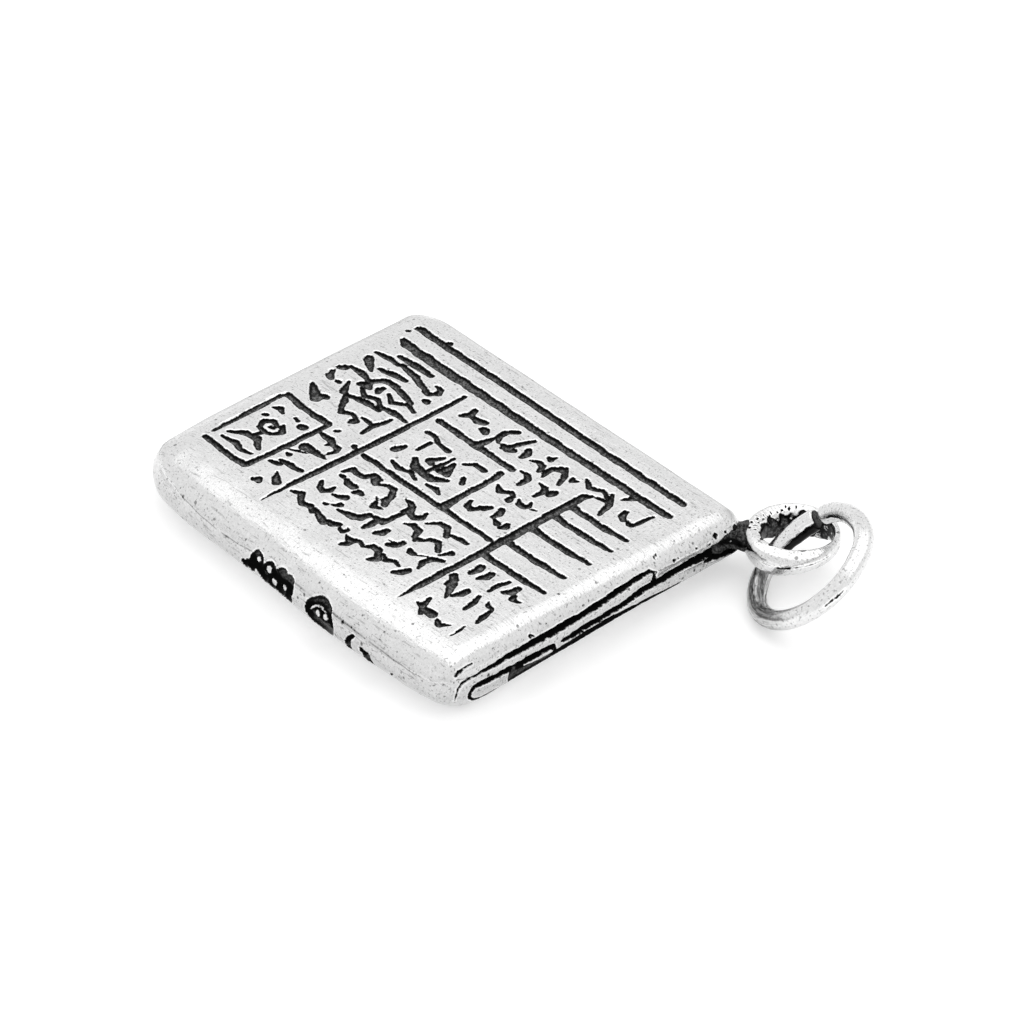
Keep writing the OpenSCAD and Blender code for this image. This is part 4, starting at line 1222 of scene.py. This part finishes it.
# %% Cast silver
def cast_silver():
    """Bright and black silver, mixed by the distance to the engraving."""
    s = Finish("cast_silver_blackened")
    ink, side, seam = s.attribute("ink"), s.attribute("side"), s.attribute("seam")
    x, y, _ = s.add("ShaderNodeSeparateXYZ", {0: s.where}).outputs
    ragged = s.noise(0.11, 3.0, 0.6)
    black, rubbed = s.black_and_rim(ink, ragged, 0.09, -0.012, 0.012, 0.07)
    line = parting_line(s, x, y, seam)
    pit = casting_pits(s, side, ragged)
    # A painted shade along the two far edges
    far_shade = far_edge_shade(s, x, y, side, seam)
    # Scratches and specks are the peaks of two noises, one of them stretched
    turned = s.add("ShaderNodeMapping", {
        "Vector": s.where, "Rotation": (0, 0, math.radians(-50)), "Scale": (0.22, 1.6, 1.0),
    }).outputs[0]
    hatch = s.noise(0.15, 3.0, 0.6, turned)
    scratch = s.fade(hatch, 0.58, 0.70)
    speck = s.fade(s.noise(0.085, 2.0, 0.5), 0.60, 0.70)
    broad, mottle = s.noise(1.2, 2.0), s.noise(0.09, 3.0, 0.7)
    # Each part has its share, which is below zero where the part darkens
    # Among the parts, faces that turn sideways are darkened by a painted shade
    tone = s.total(
        0.50, (broad, 0.10), (mottle, 0.38), (rubbed, 0.16), (line, -0.30), (scratch, -0.24),
        (speck, -0.36), (s.fade(side, 0.25, 0.80), -0.17), (far_shade, -0.30), (pit, -0.42), clamp=True,
    )
    # The floor of a wide cut is dark grey and speckled, and on the steep sides only the
    # widest cuts show it
    narrow = s.fade(side, 0.55, 0.75)
    from_wall = s.fade(s.total(ink, (narrow, 0.17)), -0.045, -0.10)
    speckle = s.fade(s.noise(0.10, 3.0, 0.7), 0.40, 0.66, 0.015, 0.17)
    floor_tone = s.product(speckle, from_wall, s.fade(side, 0.1, 0.6, 1.0, 0.45))
    floor_tone = s.calc("ADD", floor_tone, 0.004)
    # Sockets 6 and 7 are the Mix node's two colours, and output 2 is the mixed one
    both = {"Factor": black, 6: s.grey(tone), 7: s.grey(floor_tone)}
    colour = s.add("ShaderNodeMix", both, data_type="RGBA").outputs[2]
    height = s.total(0.0, (s.noise(0.06, 2.0, 0.6), 0.5), (hatch, 0.9), (pit, -1.0))
    rough = s.total(0.07, (mottle, 0.14), (black, 0.25))
    # Black in narrow cuts is matt, and the painted shade along the far edges is half matt
    matt = s.calc("MAXIMUM", s.product(black, narrow), s.product(far_shade, 0.5))
    return s.polish(colour, s.calc("SUBTRACT", 1.0, matt), rough, height, 0.012, 0.0)


# %% [markdown]
# ## Drawn wire
# Wire is pulled through a hole in a plate, which leaves fine lines along it. Noise
# in the object's coordinates would run straight through the ring, so this one
# reads the wire's own, with the way round it laid out as a cosine and a sine, so
# that the lines close up behind it.

# %% Silver wire
def silver_wire():
    """Drawn silver, with a painted dark reflection in places that greys it, darker still in its lines."""
    s = Finish("silver_wire_drawn")
    ink, dark_reflection = s.attribute("ink"), s.attribute("dark_reflection")
    along, turns, _ = s.add("ShaderNodeSeparateXYZ", {0: s.uv}).outputs
    turn = s.calc("MULTIPLY", turns, 2 * math.pi)
    round_wire = s.add("ShaderNodeCombineXYZ", {
        0: s.calc("MULTIPLY", along, 2.6), 1: s.calc("COSINE", turn), 2: s.calc("SINE", turn),
    }).outputs[0]
    lines = s.add("ShaderNodeTexNoise", {
        "Vector": round_wire, "Scale": 5.0, "Detail": 4.0, "Roughness": 0.65,
    }).outputs[0]
    fine = s.noise(0.11, 3.0, 0.65)
    # The black on the wire is painted shade and painted dark reflection
    black, rim = s.black_and_rim(ink, fine, 0.10, -0.01, 0.015, 0.09)
    speck = s.fade(s.noise(0.085, 2.0, 0.5), 0.59, 0.68)
    dark_line = s.product(dark_reflection, s.fade(lines, 0.46, 0.60))
    # The painted dark reflection greys the wire and darkens its drawing lines
    tone = s.total(
        0.50, (lines, 0.22), (fine, 0.28), (dark_reflection, -0.20), (dark_line, -0.40), (speck, -0.34),
        (rim, 0.16), (black, -0.90), clamp=True,
    )
    colour = s.grey(s.calc("ADD", tone, 0.012))
    height = s.total(0.0, (fine, 0.35), (lines, 0.9))
    return s.polish(colour, 1.0, s.total(0.13, (fine, 0.14)), height, 0.02, 0.5)


# %% Give out the finishes
cast_material, wire_material = cast_silver(), silver_wire()
for piece in (paper, bail, solder):
    piece.data.materials.append(cast_material)
jump.data.materials.append(wire_material)
# The solid model's own nodes are hidden, but they get the same finishes
for node_name, finish in (("newspaper", cast_material), ("jump_ring", wire_material)):
    solid = frame["nodes"][node_name]
    for slot in range(len(solid.data.materials)):
        solid.data.materials[slot] = finish
for material in (cast_material, wire_material):
    print(material.name, "has", len(material.node_tree.nodes), "nodes")

# %% [markdown]
# ## Floor, light and camera
# The charm lies on a white sheet. Bright metal shows what it reflects, so all
# round it is white, and three nested soft panels above are brighter still: they
# make the white bands along the fold and the leaf end. One panel would do, but
# its edge would show in the metal. The view transform Standard keeps white white.

# %% Floor
def pale_floor(half=2.0, drop=1e-5):
    """A white sheet that gives part of its light itself, so that the charm's shade on it stays soft.

    It reaches half a side each way and lies a hair below the charm.
    """
    corners = [(-half, -half, -drop), (half, -half, -drop), (half, half, -drop), (-half, half, -drop)]
    mesh = bpy.data.meshes.new("floor")
    mesh.from_pydata(corners, [], [(0, 1, 2, 3)])
    floor = bpy.data.objects.new("floor", mesh)
    bpy.context.scene.collection.objects.link(floor)
    material = bpy.data.materials.new("lit_white_sheet")
    material.use_nodes = True
    shader = material.node_tree.nodes["Principled BSDF"]
    shader.inputs["Base Color"].default_value = (0.82, 0.82, 0.82, 1)
    shader.inputs["Roughness"].default_value = 0.9
    shader.inputs["Specular IOR Level"].default_value = 0.0
    shader.inputs["Emission Color"].default_value = (1, 1, 1, 1)
    shader.inputs["Emission Strength"].default_value = 0.30
    floor.data.materials.append(material)
    print("floor of", 2 * half, "by", 2 * half, "m")


pale_floor()

# %% Light
# Columns: name, lowest x and y, highest x and y in metres, radiance
PANELS = (
    ("outer_panel", (-0.485, -0.135), (0.30, 0.375), 0.18),
    ("middle_panel", (-0.465, -0.135), (0.29, 0.356), 0.16),
    ("inner_panel", (-0.440, -0.135), (0.28, 0.340), 0.14),
)
PANEL_HEIGHT, PANEL_STEP = 0.5, 0.002


def soft_panel(name, low, high, height, radiance):
    """A level rectangular light over x and y from low to high, at that height, shining down.

    Its power in watts is radiance times pi times its area.
    """
    data = bpy.data.lights.new(name, "AREA")
    data.shape = "RECTANGLE"
    data.size, data.size_y = high[0] - low[0], high[1] - low[1]
    data.energy = radiance * math.pi * data.size * data.size_y
    lamp = bpy.data.objects.new(name, data)
    lamp.location = ((low[0] + high[0]) / 2, (low[1] + high[1]) / 2, height)
    bpy.context.scene.collection.objects.link(lamp)
    print(f"{name}: {data.energy:.3f} W")


for step, (name, low, high, radiance) in enumerate(PANELS):
    soft_panel(name, low, high, PANEL_HEIGHT - PANEL_STEP * step, radiance)
world = bpy.data.worlds.new("white_room")
world.use_nodes = True
world.node_tree.nodes["Background"].inputs["Color"].default_value = (1, 1, 1, 1)
world.node_tree.nodes["Background"].inputs["Strength"].default_value = 1.0
bpy.context.scene.world = world
bpy.context.scene.view_settings.view_transform = "Standard"

# %% Camera
AZIMUTH, ELEVATION, ROLL = math.radians(50.0), math.radians(36.4), math.radians(-0.8)
FOCAL_PIXELS, IMAGE_PIXELS, SENSOR_MM = 4980.0, 1024, 36.0
CAMERA_AT_MM = (108.81, -91.28, 106.54)


def add_camera():
    """A camera that looks back along its own azimuth and elevation, rolled a little about its axis."""
    right = Vector((math.cos(AZIMUTH), math.sin(AZIMUTH), 0))
    level = math.cos(ELEVATION)
    back = Vector((math.sin(AZIMUTH) * level, -math.cos(AZIMUTH) * level, math.sin(ELEVATION)))
    up = back.cross(right)
    rolled_right = right * math.cos(ROLL) + up * math.sin(ROLL)
    rolled_up = up * math.cos(ROLL) - right * math.sin(ROLL)
    data = bpy.data.cameras.new("camera")
    data.sensor_width = SENSOR_MM
    data.lens = FOCAL_PIXELS / IMAGE_PIXELS * SENSOR_MM
    data.clip_start, data.clip_end = 0.01, 20.0
    camera = bpy.data.objects.new("camera", data)
    turn = Matrix((rolled_right, rolled_up, back)).transposed().to_4x4()
    camera.matrix_world = Matrix.Translation(Vector(CAMERA_AT_MM) * MM) @ turn
    bpy.context.scene.collection.objects.link(camera)
    bpy.context.scene.camera = camera
    return camera


camera = add_camera()
print("camera at", [round(c / MM, 2) for c in camera.matrix_world.translation], "mm")
